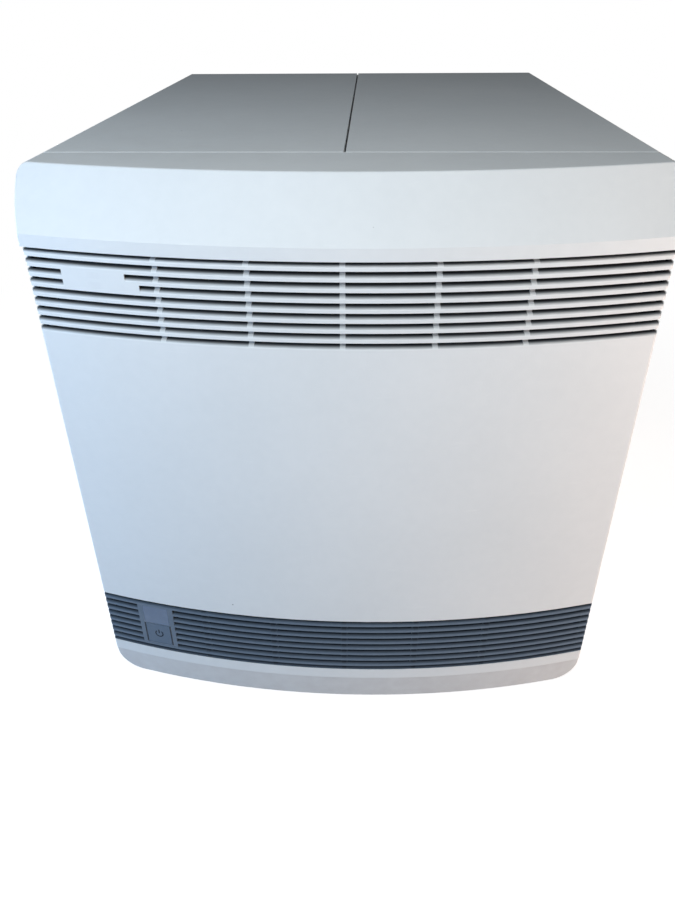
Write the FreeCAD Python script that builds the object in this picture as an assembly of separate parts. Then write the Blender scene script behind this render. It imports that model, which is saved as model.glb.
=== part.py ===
import FreeCAD, Part
import math
import os

V = FreeCAD.Vector

# Real-time PCR machine that reads a 96-position plate, in millimetres.
# +X is right seen from the front, -Y is the front, +Z is up.
# The origin lies on the bench under the middle of the cabinet.

# Whole cabinet
width = 600.0
depth = 840.0
height = 640.0
half_w = width / 2
front_y = -depth / 2
rear_y = depth / 2

# Clearances
fit = 0.3
running = 0.05

# Moulded front cover: one shallow arc in plan, with a brow, a louvre and a chin
front_bow = 41.0
brow_proud = 4.0
cover_wall = 4.0
seam_back = 131.7
brow_flare = 8.5
skirt_z = 3.0
skirt_tuck = 7.0
chin_z = 45.0
grille_z0 = 59.8
grille_z1 = 141.8
brow_drop = 65.0
brow_strip = 12.0
brow_back = 46.5
brow_corner = 14.0
skirt_corner = 32.0
edge_round = 5.0
brow_round = 3.0
return_flange = 26.0
brow_z = height - brow_drop
face_y = front_y + brow_proud
front_radius = (half_w ** 2 + front_bow ** 2) / (2 * front_bow)
axis_y = face_y + front_radius
seam_y = front_y + seam_back
sweep_half = math.degrees(math.asin(half_w / front_radius)) + 1.5

# Louvre under the brow
louvre_slots = 9
louvre_pitch = 9.7
slot_height = 3.6
slot_nose = 3.0
louvre_depth = 6.0
rib_count = 5
rib_pitch = 85.5
rib_width = 5.0
rib_set_back = 4.0
blank_x0 = -263.0
blank_x1 = -199.8
blank_x2 = -186.7
blank_slot = 2
filter_t = 9.0
filter_side = 24.0
filter_edge = 3.0

# Lower grille, power button and status window
grille_pitch = 9.54
grille_grooves = 9
grille_first = 0.9
groove_height = 5.2
groove_nose = 2.4
blade_depth = 3.4
grille_rim = 2.5
grille_end = 9.0
grille_depth = 12.0
web_width = 8.0
plate_x = -233.25
plate_w = 46.5
plate_z0 = 70.0
plate_z1 = 136.0
key_w = 33.0
key_z0 = 71.5
key_z1 = 104.4
window_z0 = 105.6
window_z1 = 133.0
window_t = 3.0
key_gap = 0.6
key_depth = 8.0
key_lip = 2.0
key_lip_y = 4.0
key_travel = 2.5
stem_r = 4.0
sleeve_back = 24.0
board_t = 1.6

# Sheet-metal covers
sheet = 2.0
bend = 4.0
edge_break = 1.6
split_x = -2.0
split_gap = 2.3
seam_gap = 0.6
hem = 10.0
ports_proud = 4.0
vent_columns = 2
vent_rows = 8
vent_l = 60.0
vent_h = 4.0
vent_step_y = 75.0
vent_step_z = 14.0
vent_back = 170.0
vent_z0 = 60.0
cover_y0 = seam_y + seam_gap
rear_face = rear_y - ports_proud
rear_in = rear_face - sheet

# Chassis
foot_h = 8.0
foot_r = 22.0
foot_x = half_w - 50
foot_front_y = front_y + 120
foot_rear_y = rear_y - 50
foot_stem_r = 5.0
foot_nut = 17.0
foot_nut_h = 6.0
pan_t = 3.0
pan_front_y = front_y + 62
pan_flange = 25.0
post_leg = 30.0
post_t = 3.0
rail_w = 25.0
rail_t = 2.0
deck_z = 400.0
deck_t = 6.0
pan_z = foot_h
pan_top = pan_z + pan_t
pan_half = half_w - sheet - fit
post_half = pan_half - pan_t
frame_y0 = cover_y0 + sheet
frame_y1 = rear_in - pan_t
rails_top = height - sheet - hem
deck_top = deck_z + deck_t

# Plate tray, which swings out through the port in the right side
port_back = 36.7
port_l = 317.0
port_y0 = cover_y0 + port_back
port_y1 = port_y0 + port_l
pivot_x = half_w - 100
pivot_y = port_y0 + 61
mid_rail_x = pivot_x - 115
arm_reach = 185.0
tray_z = 285.0
arm_t = 4.0
arm_w = 36.0
hub_r = 24.0
hub_t = 6.0
nest_w = 110.0
nest_l = 150.0
nest_h = 12.0
nest_floor = 3.0
micro_w = 85.5
micro_l = 127.8
micro_gap = 0.4
hole_w = 76.0
hole_l = 118.0
shaft_r = 10.0
shaft_end_r = 4.0
shaft_end = 30.0
bearing_r = 16.0
bearing_w = 8.0
pedestal_w = 76.0
pedestal_t = 3.0
pedestal_plate = 10.0
pedestal_shelf_z = 200.0
tray_motor_w = 56.0
tray_motor_h = 70.0

# Plate port, its bezel and the service cover below it
port_z0 = 282.0
port_z1 = 322.0
bezel_wall = 4.0
bezel_depth = 12.0
bezel_flange = 6.0
service_y0 = pivot_y + 40
service_y1 = service_y0 + 240
service_z0 = 60.0
service_z1 = 255.0
service_gap = 0.6

# Thermal module, lowered on a jack screw for service
block_x = pivot_x
block_y = pivot_y + arm_reach
block_drop = 16.0
block_w = 72.0
block_l = 112.0
block_top = 272.0
block_t = 30.0
well_pitch = 9.0
well_rows = 8
well_columns = 12
well_top_r = 3.0
well_tip_r = 1.4
well_depth = 15.0
peltier_t = 4.0
peltier_w = 34.0
peltier_l = 36.0
sink_w = 120.0
sink_l = 150.0
sink_base = 8.0
fin_h = 62.0
fin_t = 2.0
fin_pitch = 7.4
carrier_t = 5.0
carrier_w = 164.0
carrier_l = 170.0
guide_r = 5.0
bush_r = 9.0
bush_h = 20.0
guide_x = 72.0
guide_y = 66.0
guide_top = 220.0
guide_foot_w = 22.0
guide_foot_h = 6.0
jack_x = block_x + 62
jack_y = block_y - 105
jack_r = 8.0
jack_top = 214.0
jack_hex = 19.0
jack_hex_h = 12.0
jack_base_w = 44.0
jack_base_h = 24.0
jack_lug_w = 30.0

# Cooling fans
fan_w = 120.0
fan_t = 38.0
fan_bore_r = 57.0
fan_hub_r = 20.0
fan_pin_r = 3.0
fan_strut = 5.0
fan_web = 4.0
blade_count = 7
blade_r = 54.5
blade_root = 14.5
blade_t = 2.0
blade_tilt = 42.0
upper_fan_x = 120 - half_w
upper_fan_z = 470.0
lower_fan_x = pivot_x
lower_fan_z = 140.0

# Heated cover over the plate
platen_z = 306.0
platen_t = 8.0
platen_w = 80.0
platen_l = 120.0
scan_slot_w = 4.0
scan_slot_l = 104.0
lid_t = 8.0
lid_w = 132.0
lid_l = 164.0
lid_hole_w = 70.0
lid_lift = 18.0
lid_rod_r = 5.0
lid_rod_x = 56.0
lid_rod_y = 70.0
lid_rod_z0 = 318.0
lid_bush_r = 9.0
lid_bush_h = 26.0
lift_y = block_y - 145
lift_r = 6.0
lift_lug_w = 28.0
lift_lug_t = 16.0
motor_w = 42.0
motor_l = 40.0
motor_bore = 28.0

# Bridge over the plate, with the scanning carriage
bridge_t = 12.0
bridge_front_y = block_y - 167
bridge_rear_y = block_y + 165
bridge_gap_y0 = block_y - 55
bridge_gap_y1 = block_y + 55
scan_travel = 99.0
track_x = 62.0
track_w = 12.0
track_h = 12.0
track_y0 = block_y - 95
track_y1 = block_y + 95
carriage_w = 150.0
carriage_l = 60.0
carriage_t = 10.0
carriage_lift = 3.0
runner_w = 28.0
lens_count = 8
lens_r = 3.2
lens_bar_w = 76.0
lens_bar_l = 10.0
lens_snout = 3.0
screw_x = block_x - 84
screw_r = 5.0
screw_block_t = 10.0
screw_block_w = 24.0
screw_block_front = block_y - 100
screw_block_rear = block_y + 103
prism_w = 24.0

# Optics on the deck
beam_z = 470.0
beam_y = pivot_y + 40
laser_x = 120 - half_w
laser_y0 = beam_y + 50
laser_l = 350.0
laser_w = 110.0
laser_corner = 12.0
saddle_t = 20.0
duct_wall = 2.0
mount_w = 40.0
mount_post = 24.0
mirror_x = block_x - 60
tube_r = 9.0
tube_bore = 7.0
spectro_y0 = beam_y + 90
spectro_l = 230.0
spectro_w = 140.0
spectro_h = 110.0
spectro_taper = 40.0
spectro_share = 0.6875
camera_w = 90.0
camera_l = 95.0
case_wall = 3.0
laser_edge = laser_x + laser_w / 2
motor_edge = screw_x - motor_w / 2
splitter_x = laser_edge + spectro_share * (motor_edge - laser_edge - spectro_w) + spectro_w / 2

# Electronics in the lower bay
supply_x0 = 15 - half_w
supply_wall = 1.6
supply_gap = 60.0
supply_slot = 6.0
supply_slot_step = 20.0
laser_supply_w = 180.0
laser_supply_l = 240.0
laser_supply_h = 170.0
supply_w = 150.0
supply_y0 = rear_y - 270
supply_l = 195.0
supply_h = 110.0
laser_supply_y0 = supply_y0 - supply_gap - laser_supply_l
board_x0 = -60.0
board_w = 150.0
board_y0 = rear_y - 250
board_l = 210.0
board_lift = 10.0
standoff_r = 4.0
inlet_x = 95 - half_w
inlet_z = 60.0
inlet_w = 48.0
inlet_h = 28.0
inlet_back = 18.0
inlet_hole_w = 24.5
inlet_hole_h = 17.0
inlet_hole_deep = 16.0
ports_x = 20.0
ports_z = 60.0
port_step = 50.0
plug_w = 31.0
plug_h = 12.5
screw_head_w = 8.0
screw_head_h = 2.2
screw_inset = 12.0
screw_drop = 24.0


# Basic shapes
def box(x0, x1, y0, y1, z0, z1):
    return Part.makeBox(x1 - x0, y1 - y0, z1 - z0, V(x0, y0, z0))


def slab(x, y, z0, z1, w, l):
    return box(x - w / 2, x + w / 2, y - l / 2, y + l / 2, z0, z1)


def rod(x, y, z0, z1, r):
    return Part.makeCylinder(r, z1 - z0, V(x, y, z0))


def rod_y(x, z, y0, y1, r):
    return Part.makeCylinder(r, y1 - y0, V(x, y0, z), V(0, 1, 0))


def rod_x(y, z, x0, x1, r):
    return Part.makeCylinder(r, x1 - x0, V(x0, y, z), V(1, 0, 0))


def fuse(shapes):
    return shapes[0].multiFuse(shapes[1:]).removeSplitter()


def group(shapes):
    return Part.makeCompound(shapes)


def polygon(points):
    return Part.makePolygon(points + [points[0]])


def prism(points, direction):
    return Part.Face(polygon(points)).extrude(direction)


# A solid with flat sides between two outlines of as many corners
def frustum(low, high):
    faces = [Part.Face(polygon(low)), Part.Face(polygon(high))]
    for i in range(len(low)):
        faces.append(Part.Face(polygon([low[i - 1], low[i], high[i], high[i - 1]])))
    solid = Part.makeSolid(Part.makeShell(faces))
    return solid if solid.Volume > 0 else solid.reversed()


def flat_ring(x, y, z, radius, count):
    points = []
    for i in range(count):
        angle = 2 * math.pi * i / count
        points.append(V(x + radius * math.cos(angle), y + radius * math.sin(angle), z))
    return points


def hexagon(x, y, z, radius):
    return flat_ring(x, y, z, radius, 6)


def upright_edges(shape):
    found = []
    for edge in shape.Edges:
        bounds = edge.BoundBox
        if bounds.XLength < 0.01 and bounds.YLength < 0.01:
            found.append(edge)
    return found


def rounded(shape, radius):
    return shape.makeFillet(radius, upright_edges(shape))


def rounded_slab(x, y, z0, z1, w, l, radius):
    return rounded(slab(x, y, z0, z1, w, l), radius)


def centre_of_arc(start, end, radius):
    middle = (start + end) * 0.5
    chord = end - start
    reach = math.sqrt(radius ** 2 - (chord.Length / 2) ** 2)
    inward = V(0, chord.z, -chord.y).normalize()
    return middle + inward * reach


def line(start, end):
    return Part.LineSegment(start, end).toShape()


def arc_about(centre, start, end):
    radius = (start - centre).Length
    middle = (start + end) * 0.5 - centre
    return Part.Arc(start, centre + middle.normalize() * radius, end).toShape()


# Outlines of the front, turned about the upright axis of the front's arc
def turned(wire):
    face = Part.Face(wire)
    face.rotate(V(0, axis_y, 0), V(0, 0, 1), -sweep_half)
    return face.revolve(V(0, axis_y, 0), V(0, 0, 1), 2 * sweep_half)


def turned_profile(points):
    return turned(polygon([V(0, y, z) for y, z in points]))


def place_on_front(shape, x):
    placed = shape.copy()
    angle = math.degrees(math.asin(x / front_radius))
    placed.rotate(V(0, axis_y, 0), V(0, 0, 1), angle)
    return placed


def elevation(half, z0, z1, low_corner, high_corner, y0, y1):
    edges = []
    for side in (-1, 1):
        x = side * half
        edges.append(line(V(x, y0, z0 + low_corner), V(x, y0, z1 - high_corner)))
        for corner, z, up in ((low_corner, z0, 1), (high_corner, z1, -1)):
            if corner > 0:
                centre = V(x - side * corner, y0, z + up * corner)
                edges.append(arc_about(centre, V(x, y0, z + up * corner), V(x - side * corner, y0, z)))
    for corner, z in ((low_corner, z0), (high_corner, z1)):
        edges.append(line(V(corner - half, y0, z), V(half - corner, y0, z)))
    wire = Part.Wire(Part.__sortEdges__(edges))
    return Part.Face(wire).extrude(V(0, y1 - y0, 0))


def front_side_edges(shape):
    found = []
    for edge in shape.Edges:
        bounds = edge.BoundBox
        at_side = min(abs(bounds.XMin), abs(bounds.XMax)) > half_w - brow_corner - 4
        if at_side and bounds.YMax < seam_y - 1 and bounds.ZLength > 3:
            found.append(edge)
    return found


def rounded_front(shape, radius=edge_round):
    return shape.makeFillet(radius, front_side_edges(shape))


past_front = front_y - 20
past_seam = seam_y + 60


# Side view of the brow: an upright strip, then a flat bevel up to the top
def brow_outline(inset, floor):
    low_z = brow_z + brow_strip
    rise = height - low_z
    slant = math.hypot(brow_back, rise)
    z_low = low_z + inset * (rise - slant) / brow_back
    y_high = front_y + (inset * slant + (rise - inset) * brow_back) / rise
    return [(front_y + inset, floor), (front_y + inset, z_low), (y_high, height - inset),
            (past_seam, height - inset), (past_seam, floor)]


# Front view of the brow at one depth: it widens by flare up to its rounded upper corners
def brow_ring(y, flare, corner):
    strip_z = brow_z + brow_strip
    half = half_w + flare
    top = height
    low = half_w
    edges = []
    for side in (-1, 1):
        corner_low = V(side * half, y, top - corner)
        corner_high = V(side * (half - corner), y, top)
        edges.append(line(V(side * low, y, brow_z), V(side * low, y, strip_z)))
        edges.append(line(V(side * low, y, strip_z), corner_low))
        edges.append(arc_about(V(side * (half - corner), y, top - corner), corner_low, corner_high))
    edges.append(line(V(corner - half, y, top), V(half - corner, y, top)))
    edges.append(line(V(-low, y, brow_z), V(low, y, brow_z)))
    return Part.Wire(Part.__sortEdges__(edges))


# Between the covers' outline at the seam and the full flare and corner at the end of the bevel
def brow_envelope():
    flare_y = front_y + front_bow + brow_back - brow_corner
    growth = (seam_y - past_front) / (seam_y - flare_y)
    front = brow_ring(past_front, growth * brow_flare, bend + growth * (brow_corner - bend))
    back = brow_ring(seam_y, 0, bend)
    return Part.makeLoft([front, back], True, True)


def front_outside():
    brow = turned_profile(brow_outline(0, brow_z)).common(brow_envelope())
    panel = turned_profile([(face_y, chin_z), (past_seam, chin_z), (past_seam, brow_z), (face_y, brow_z)])
    panel = panel.common(elevation(half_w, chin_z, brow_z, 0, 0, past_front, seam_y))
    skirt = turned_profile([(face_y + skirt_tuck, skirt_z), (past_seam, skirt_z), (past_seam, chin_z),
                            (face_y + brow_proud / 8, chin_z)])
    skirt = skirt.common(elevation(half_w, skirt_z, chin_z, skirt_corner, 0, past_front, seam_y))
    return fuse([rounded_front(brow, brow_round), rounded_front(panel), rounded_front(skirt)])


def front_inside():
    louvre_foot = louvre_bottom() - cover_wall
    tucked = face_y + skirt_tuck + cover_wall
    inner = half_w - cover_wall
    brow = turned_profile(brow_outline(cover_wall, brow_z + cover_wall))
    panel = turned_profile([(face_y + cover_wall, chin_z), (past_seam, chin_z), (past_seam, louvre_foot),
                            (face_y + cover_wall, louvre_foot)])
    louvre = turned_profile([(face_y + louvre_depth, louvre_foot), (past_seam, louvre_foot),
                             (past_seam, brow_z + cover_wall), (face_y + louvre_depth, brow_z + cover_wall)])
    skirt = turned_profile([(tucked, skirt_z - 1), (past_seam, skirt_z - 1), (past_seam, chin_z),
                            (face_y + cover_wall, chin_z)])
    hollow = fuse([brow, panel, louvre, skirt])
    upper = elevation(inner, skirt_z + skirt_corner, height - cover_wall, 0, brow_corner - cover_wall,
                      past_front, past_seam)
    lower = elevation(inner, skirt_z - cover_wall, skirt_z + skirt_corner, skirt_corner, 0,
                      past_front, past_seam)
    return hollow.common(fuse([upper, lower]))


# Louvre cutters, stopped at the ribs and at the blank area
def louvre_bottom():
    return brow_z - (louvre_slots - 1) * louvre_pitch - slot_height - slot_nose


# A slot with a nose below it, rounded in two flats
def slot_ring(top, height_of_slot, nose, deep):
    low = top - height_of_slot
    cut = nose * (1 - math.sqrt(0.5))
    return turned_profile([(face_y - 1, top), (face_y + deep, top), (face_y + deep, low),
                           (face_y + nose, low), (face_y + cut, low - cut), (face_y, low - nose),
                           (face_y - 1, low - nose)])


def rib_positions():
    return [rib_pitch * (i - (rib_count - 1) / 2) for i in range(rib_count)]


def louvre_cutters():
    keep = []
    for x in rib_positions():
        rib = box(-rib_width / 2, rib_width / 2, face_y + rib_set_back, face_y + louvre_depth + 2,
                  louvre_bottom() - 2, brow_z + 1)
        keep.append(place_on_front(rib, x))
    cutters = []
    for i in range(louvre_slots):
        top = brow_z - i * louvre_pitch
        ring = slot_ring(top, slot_height, slot_nose, louvre_depth + 1)
        stops = list(keep)
        if i - blank_slot in (0, 1):
            blank_end = blank_x1 if i == blank_slot else blank_x2
            stops.append(box(blank_x0, blank_end, past_front, face_y + front_bow + louvre_depth,
                             top - louvre_pitch + 1, top + 1))
        cutters.append(ring.cut(stops))
    return cutters


def front_cover():
    shell = front_outside().cut(front_inside())
    inner = half_w - cover_wall
    extras = []
    for side in (-1, 1):
        x0, x1 = sorted((side * (inner - return_flange), side * (inner + 1)))
        extras.append(box(x0, x1, seam_y - cover_wall, seam_y, chin_z, brow_z))
    for x in rib_positions():
        web = box(-web_width / 2, web_width / 2, face_y + cover_wall - 1, face_y + grille_depth + web_width,
                  chin_z + 1, grille_z1 + grille_depth)
        extras.append(place_on_front(web, x))
    shell = fuse([shell] + extras)
    seat = grille_depth + fit
    pocket = turned_profile([(past_front, grille_z0), (face_y + seat, grille_z0),
                             (face_y + seat, grille_z1), (past_front, grille_z1)])
    return shell.cut([pocket] + louvre_cutters())


# Air filter mat behind the louvre
def inlet_filter():
    y0 = face_y + louvre_depth + fit
    z0 = louvre_bottom() - cover_wall + filter_edge
    z1 = brow_z + cover_wall - filter_edge
    mat = turned_profile([(y0, z0), (y0 + filter_t, z0), (y0 + filter_t, z1), (y0, z1)])
    return mat.common(elevation(half_w - filter_side, z0 - 1, z1 + 1, 0, 0, past_front, seam_y))


# Lower grille insert with the button plate and its sleeve
def on_plate(shape):
    return place_on_front(shape, plate_x)


def plate_block(y0, y1, margin=0.0):
    half = plate_w / 2 - margin
    return on_plate(box(-half, half, face_y + y0, face_y + y1, plate_z0 + margin, plate_z1 - margin))


def lower_grille():
    z0 = grille_z0 + fit
    z1 = grille_z1 - fit
    ring = turned_profile([(face_y, z0), (face_y + grille_depth, z0), (face_y + grille_depth, z1), (face_y, z1)])
    bar = rounded_front(ring.common(elevation(half_w, z0 - 1, z1 + 1, 0, 0, past_front, seam_y)))
    plate = plate_block(-20, 2 * grille_depth)
    grooves = []
    for i in range(grille_grooves):
        top = grille_z1 + grille_first - i * grille_pitch
        ring = slot_ring(top, groove_height, groove_nose, blade_depth + fit)
        grooves.append(ring.cut(plate) if 0 < i < grille_grooves - 1 else ring)
    keep = [plate]
    for x in rib_positions():
        keep.append(place_on_front(box(-web_width / 2, web_width / 2, face_y + blade_depth,
                                       face_y + grille_depth + 2, z0, z1), x))
    room = turned_profile([(face_y + blade_depth, z0 + grille_rim), (face_y + grille_depth + 1, z0 + grille_rim),
                           (face_y + grille_depth + 1, z1 - grille_rim), (face_y + blade_depth, z1 - grille_rim)])
    room = room.common(elevation(half_w - grille_end, z0, z1, 0, 0, past_front, seam_y))
    bar = bar.cut(grooves + [room.cut(keep)])
    sleeve = plate_block(grille_depth - 1, sleeve_back)
    half = key_w / 2
    window_seat = on_plate(box(-half, half, face_y - 1, face_y + window_t, window_z0, window_z1))
    ledge = 2.5
    window_hole = on_plate(box(ledge - half, half - ledge, face_y, face_y + sleeve_back + 1,
                               window_z0 + ledge, window_z1 - ledge))
    key_hole = on_plate(box(-half, half, face_y - 1, face_y + sleeve_back + 1, key_z0, key_z1))
    key_room = on_plate(box(-half - key_lip - fit, half + key_lip + fit, face_y + key_lip_y,
                            face_y + sleeve_back + 1, key_z0, key_z1))
    return fuse([bar, sleeve]).cut([window_seat, window_hole, key_hole, key_room])


def front_skin(thickness):
    return turned_profile([(face_y, 0), (face_y + thickness, 0), (face_y + thickness, height), (face_y, height)])


def status_window():
    half = key_w / 2 - fit / 2
    pane = on_plate(box(-half, half, face_y - 5, face_y + window_t, window_z0 + fit / 2, window_z1 - fit / 2))
    return pane.common(front_skin(sleeve_back))


def power_button():
    half = key_w / 2 - key_gap
    low = key_z0 + key_gap
    high = key_z1 - key_gap
    cap = on_plate(box(-half, half, face_y - 5, face_y + key_depth, low, high)).common(front_skin(sleeve_back))
    lip = on_plate(box(-half - key_lip, half + key_lip, face_y + key_lip_y + fit, face_y + key_depth, low, high))
    middle = (key_z0 + key_z1) / 2
    stem = on_plate(rod_y(0, middle, face_y + key_depth - 1, switch_front() + 5, stem_r))
    return fuse([cap, lip, stem])


def switch_front():
    return face_y + key_depth + key_travel + 1.5


def power_switch():
    middle = (key_z0 + key_z1) / 2
    body_half = key_w / 2 - 4
    body = box(-body_half, body_half, switch_front(), face_y + sleeve_back, middle - 10, middle + 10)
    bore = rod_y(0, middle, switch_front() - 1, switch_front() + 5 + key_travel + 1, stem_r + running)
    return on_plate(body.cut(bore))


def status_led_board():
    board = plate_block(sleeve_back, sleeve_back + board_t)
    lamps = []
    for x in (-8, 0, 8):
        lamps.append(on_plate(box(x - 2, x + 2, face_y + sleeve_back - 2.5, face_y + sleeve_back,
                                  window_z0 + 12, window_z0 + 16)))
    return fuse([board] + lamps)


# Left and right covers: bent sheets that meet at a gap along the top
def bent_sheet(side, inset):
    edge_x = split_x + side * (split_gap / 2)
    outer_x = side * (half_w - inset)
    radius = bend - inset
    top = height - inset
    corner = V(side * (half_w - bend), cover_y0, height - bend)
    turn_top = V(corner.x, cover_y0, corner.z + radius)
    turn_side = V(corner.x + side * radius, cover_y0, corner.z)
    return [V(edge_x, cover_y0, top), turn_top, turn_side, V(outer_x, cover_y0, pan_z)], corner


def side_cover(side):
    outer, corner = bent_sheet(side, 0)
    inner, corner = bent_sheet(side, sheet)
    edges = [line(outer[0], outer[1]), arc_about(corner, outer[1], outer[2]), line(outer[2], outer[3]),
             line(outer[3], inner[3]), line(inner[3], inner[2]), arc_about(corner, inner[2], inner[1]),
             line(inner[1], inner[0]), line(inner[0], outer[0])]
    skin = Part.Face(Part.Wire(edges)).extrude(V(0, rear_face - cover_y0, 0))
    low = height - sheet - hem
    edge_x = split_x + side * (split_gap / 2)
    far_x = side * (half_w - bend)
    x0, x1 = sorted((edge_x, far_x))
    front_hem = box(x0, x1, cover_y0, cover_y0 + sheet, low, height - sheet / 2)
    x0, x1 = sorted((edge_x, edge_x + side * sheet))
    middle_hem = box(x0, x1, cover_y0, frame_y1 - hem, low, height - sheet / 2)
    x0, x1 = sorted((side * (half_w - sheet / 2), side * (half_w - sheet - hem)))
    side_hem = box(x0, x1, cover_y0, cover_y0 + sheet, chin_z, height - 2 * bend)
    cover = fuse([skin, front_hem, middle_hem, side_hem])
    return cover.makeFillet(edge_break, front_rim_edges(cover))


def front_rim_edges(cover):
    found = []
    for edge in cover.Edges:
        bounds = edge.BoundBox
        at_front = bounds.YMax < cover_y0 + 0.01
        outside = bounds.ZMin > height - bend - 0.01 or min(abs(bounds.XMin), abs(bounds.XMax)) > half_w - 0.01
        if at_front and outside and edge.Length > 2.5 * sheet:
            found.append(edge)
    return found


def side_vents(x0, x1):
    slots = []
    for column in range(vent_columns):
        for row in range(vent_rows):
            y0 = rear_y - vent_back + column * vent_step_y
            z0 = vent_z0 + row * vent_step_z
            slots.append(box(x0, x1, y0, y0 + vent_l, z0, z0 + vent_h))
    return slots


def left_cover():
    return side_cover(-1).cut(side_vents(-half_w - 1, -half_w + sheet + 1))


def right_cover():
    hole = bezel_wall + fit
    port = box(half_w - sheet - 1, half_w + 1, port_y0 - hole, port_y1 + hole, port_z0 - hole, port_z1 + hole)
    service = box(half_w - sheet - 1, half_w + 1, service_y0, service_y1, service_z0, service_z1)
    return side_cover(1).cut([port, service] + side_vents(half_w - sheet - 1, half_w + 1))


def service_cover():
    x1 = half_w
    plate = box(x1 - sheet, x1, service_y0 + service_gap, service_y1 - service_gap,
                service_z0 + service_gap, service_z1 - service_gap)
    inner = x1 - sheet - fit
    tabs = []
    for z in (service_z0, service_z1):
        for y in (service_y0 + 40, service_y1 - 40):
            tabs.append(box(inner - sheet, inner, y - 12, y + 12, z - 10, z + 10))
            step = 1 if z == service_z0 else -1
            z0, z1 = sorted((z + step * service_gap, z + step * 10))
            tabs.append(box(inner - 0.5, x1 - sheet + 0.5, y - 12, y + 12, z0, z1))
    return fuse([plate] + tabs)


def port_bezel():
    y0 = port_y0 - bezel_wall
    y1 = port_y1 + bezel_wall
    z0 = port_z0 - bezel_wall
    z1 = port_z1 + bezel_wall
    sleeve = box(half_w - bezel_depth, half_w, y0, y1, z0, z1)
    back_x = half_w - sheet - fit
    back = box(back_x - sheet, back_x, y0 - bezel_flange, y1 + bezel_flange, z0 - bezel_flange, z1 + bezel_flange)
    return fuse([sleeve, back]).cut(box(half_w - bezel_depth - 1, half_w + 1, port_y0, port_y1, port_z0, port_z1))


# Rear panel: a shallow pressed tray with slotted fan grilles
def fan_slots(x, z):
    slots = []
    for row in range(-4, 5):
        for side in (-1, 1):
            length = 48 - 2.4 * abs(row) ** 1.6
            x0, x1 = sorted((x + side * 3, x + side * (3 + length)))
            slots.append(box(x0, x1, rear_in - 1, rear_face + 1, z + row * 12 - 2.5, z + row * 12 + 2.5))
    return slots


def rear_panel():
    top = height - sheet - fit
    z0 = pan_top + pan_flange + fit
    corner = bend - sheet
    plate = elevation(pan_half, pan_z, top, 0, corner, rear_in, rear_face)
    rim = elevation(pan_half, z0, top, 0, corner, rear_in - hem, rear_face)
    rim = rim.cut(elevation(pan_half - sheet, z0 - 1, top - sheet, 0, corner - sheet, rear_in - hem - 1, rear_in))
    holes = [box(inlet_x - inlet_w / 2 + 3, inlet_x + inlet_w / 2 - 3, rear_in - 1, rear_face + 1,
                 inlet_z - inlet_h / 2 + 1, inlet_z + inlet_h / 2 - 1)]
    for i in range(3):
        x = ports_x + i * port_step
        holes.append(box(x - plug_w / 2, x + plug_w / 2, rear_in - 1, rear_face + 1,
                         ports_z - plug_h / 2, ports_z + plug_h / 2))
    return fuse([plate, rim]).cut(holes + fan_slots(upper_fan_x, upper_fan_z) + fan_slots(lower_fan_x, lower_fan_z))


# Base pan, feet, posts and rails
def foot_places():
    return [(x, y) for x in (-foot_x, foot_x) for y in (foot_front_y, foot_rear_y)]


def base_pan():
    front_half = half_w - skirt_corner - 2 * cover_wall
    floor = box(-pan_half, pan_half, cover_y0 + sheet, rear_in, pan_z, pan_top)
    nose = box(-front_half, front_half, pan_front_y, cover_y0 + sheet + 1, pan_z, pan_top)
    sides = [box(-pan_half, -post_half, cover_y0 + sheet, rear_in, pan_z, pan_top + pan_flange),
             box(post_half, pan_half, cover_y0 + sheet, rear_in, pan_z, pan_top + pan_flange),
             box(-pan_half, pan_half, rear_in - pan_t, rear_in, pan_z, pan_top + pan_flange)]
    holes = [rod(x, y, pan_z - 1, pan_top + 1, foot_stem_r) for x, y in foot_places()]
    return fuse([floor, nose] + sides).cut(holes)


def levelling_feet():
    feet = []
    for x, y in foot_places():
        cone = Part.makeCone(foot_r, foot_r * 0.6, foot_h, V(x, y, 0))
        stem = rod(x, y, foot_h - 1, pan_top + foot_nut_h, foot_stem_r)
        nut = prism(hexagon(x, y, pan_top, foot_nut / math.sqrt(3)), V(0, 0, foot_nut_h))
        feet.append(fuse([cone, stem, nut]))
    return group(feet)


def corner_posts():
    posts = []
    for sx in (-1, 1):
        for y, sy in ((frame_y0, 1), (frame_y1, -1)):
            x = sx * post_half
            points = [V(x, y, pan_top), V(x - sx * post_leg, y, pan_top),
                      V(x - sx * post_leg, y + sy * post_t, pan_top), V(x - sx * post_t, y + sy * post_t, pan_top),
                      V(x - sx * post_t, y + sy * post_leg, pan_top), V(x, y + sy * post_leg, pan_top)]
            posts.append(prism(points, V(0, 0, rails_top - rail_w - pan_top)))
    return group(posts)


def channel_frame(half, y0, y1, z1, cross_x):
    z0 = z1 - rail_w
    bars = [box(-half, half, y0, y0 + rail_w, z0, z1), box(-half, half, y1 - rail_w, y1, z0, z1)]
    hollows = [box(-half + rail_t, half - rail_t, y0 + rail_t, y0 + rail_w - rail_t, z0 - 1, z1 - rail_t),
               box(-half + rail_t, half - rail_t, y1 - rail_w + rail_t, y1 - rail_t, z0 - 1, z1 - rail_t)]
    for x in (-half + rail_w / 2, cross_x, half - rail_w / 2):
        bars.append(slab(x, (y0 + y1) / 2, z0, z1, rail_w, y1 - y0))
        hollows.append(slab(x, (y0 + y1) / 2, z0 - 1, z1 - rail_t, rail_w - 2 * rail_t, y1 - y0 - 2 * rail_t))
    return fuse(bars).cut(fuse(hollows))


def top_frame():
    return channel_frame(post_half, frame_y0, frame_y1, rails_top, split_x)


def deck_frame():
    return channel_frame(post_half - post_t, frame_y0 + post_t, frame_y1 - post_t, deck_z, mid_rail_x)


def optics_deck():
    half = post_half - post_t
    return box(-half, mid_rail_x - fit, frame_y0 + post_t, frame_y1 - post_t, deck_z, deck_top)


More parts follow.
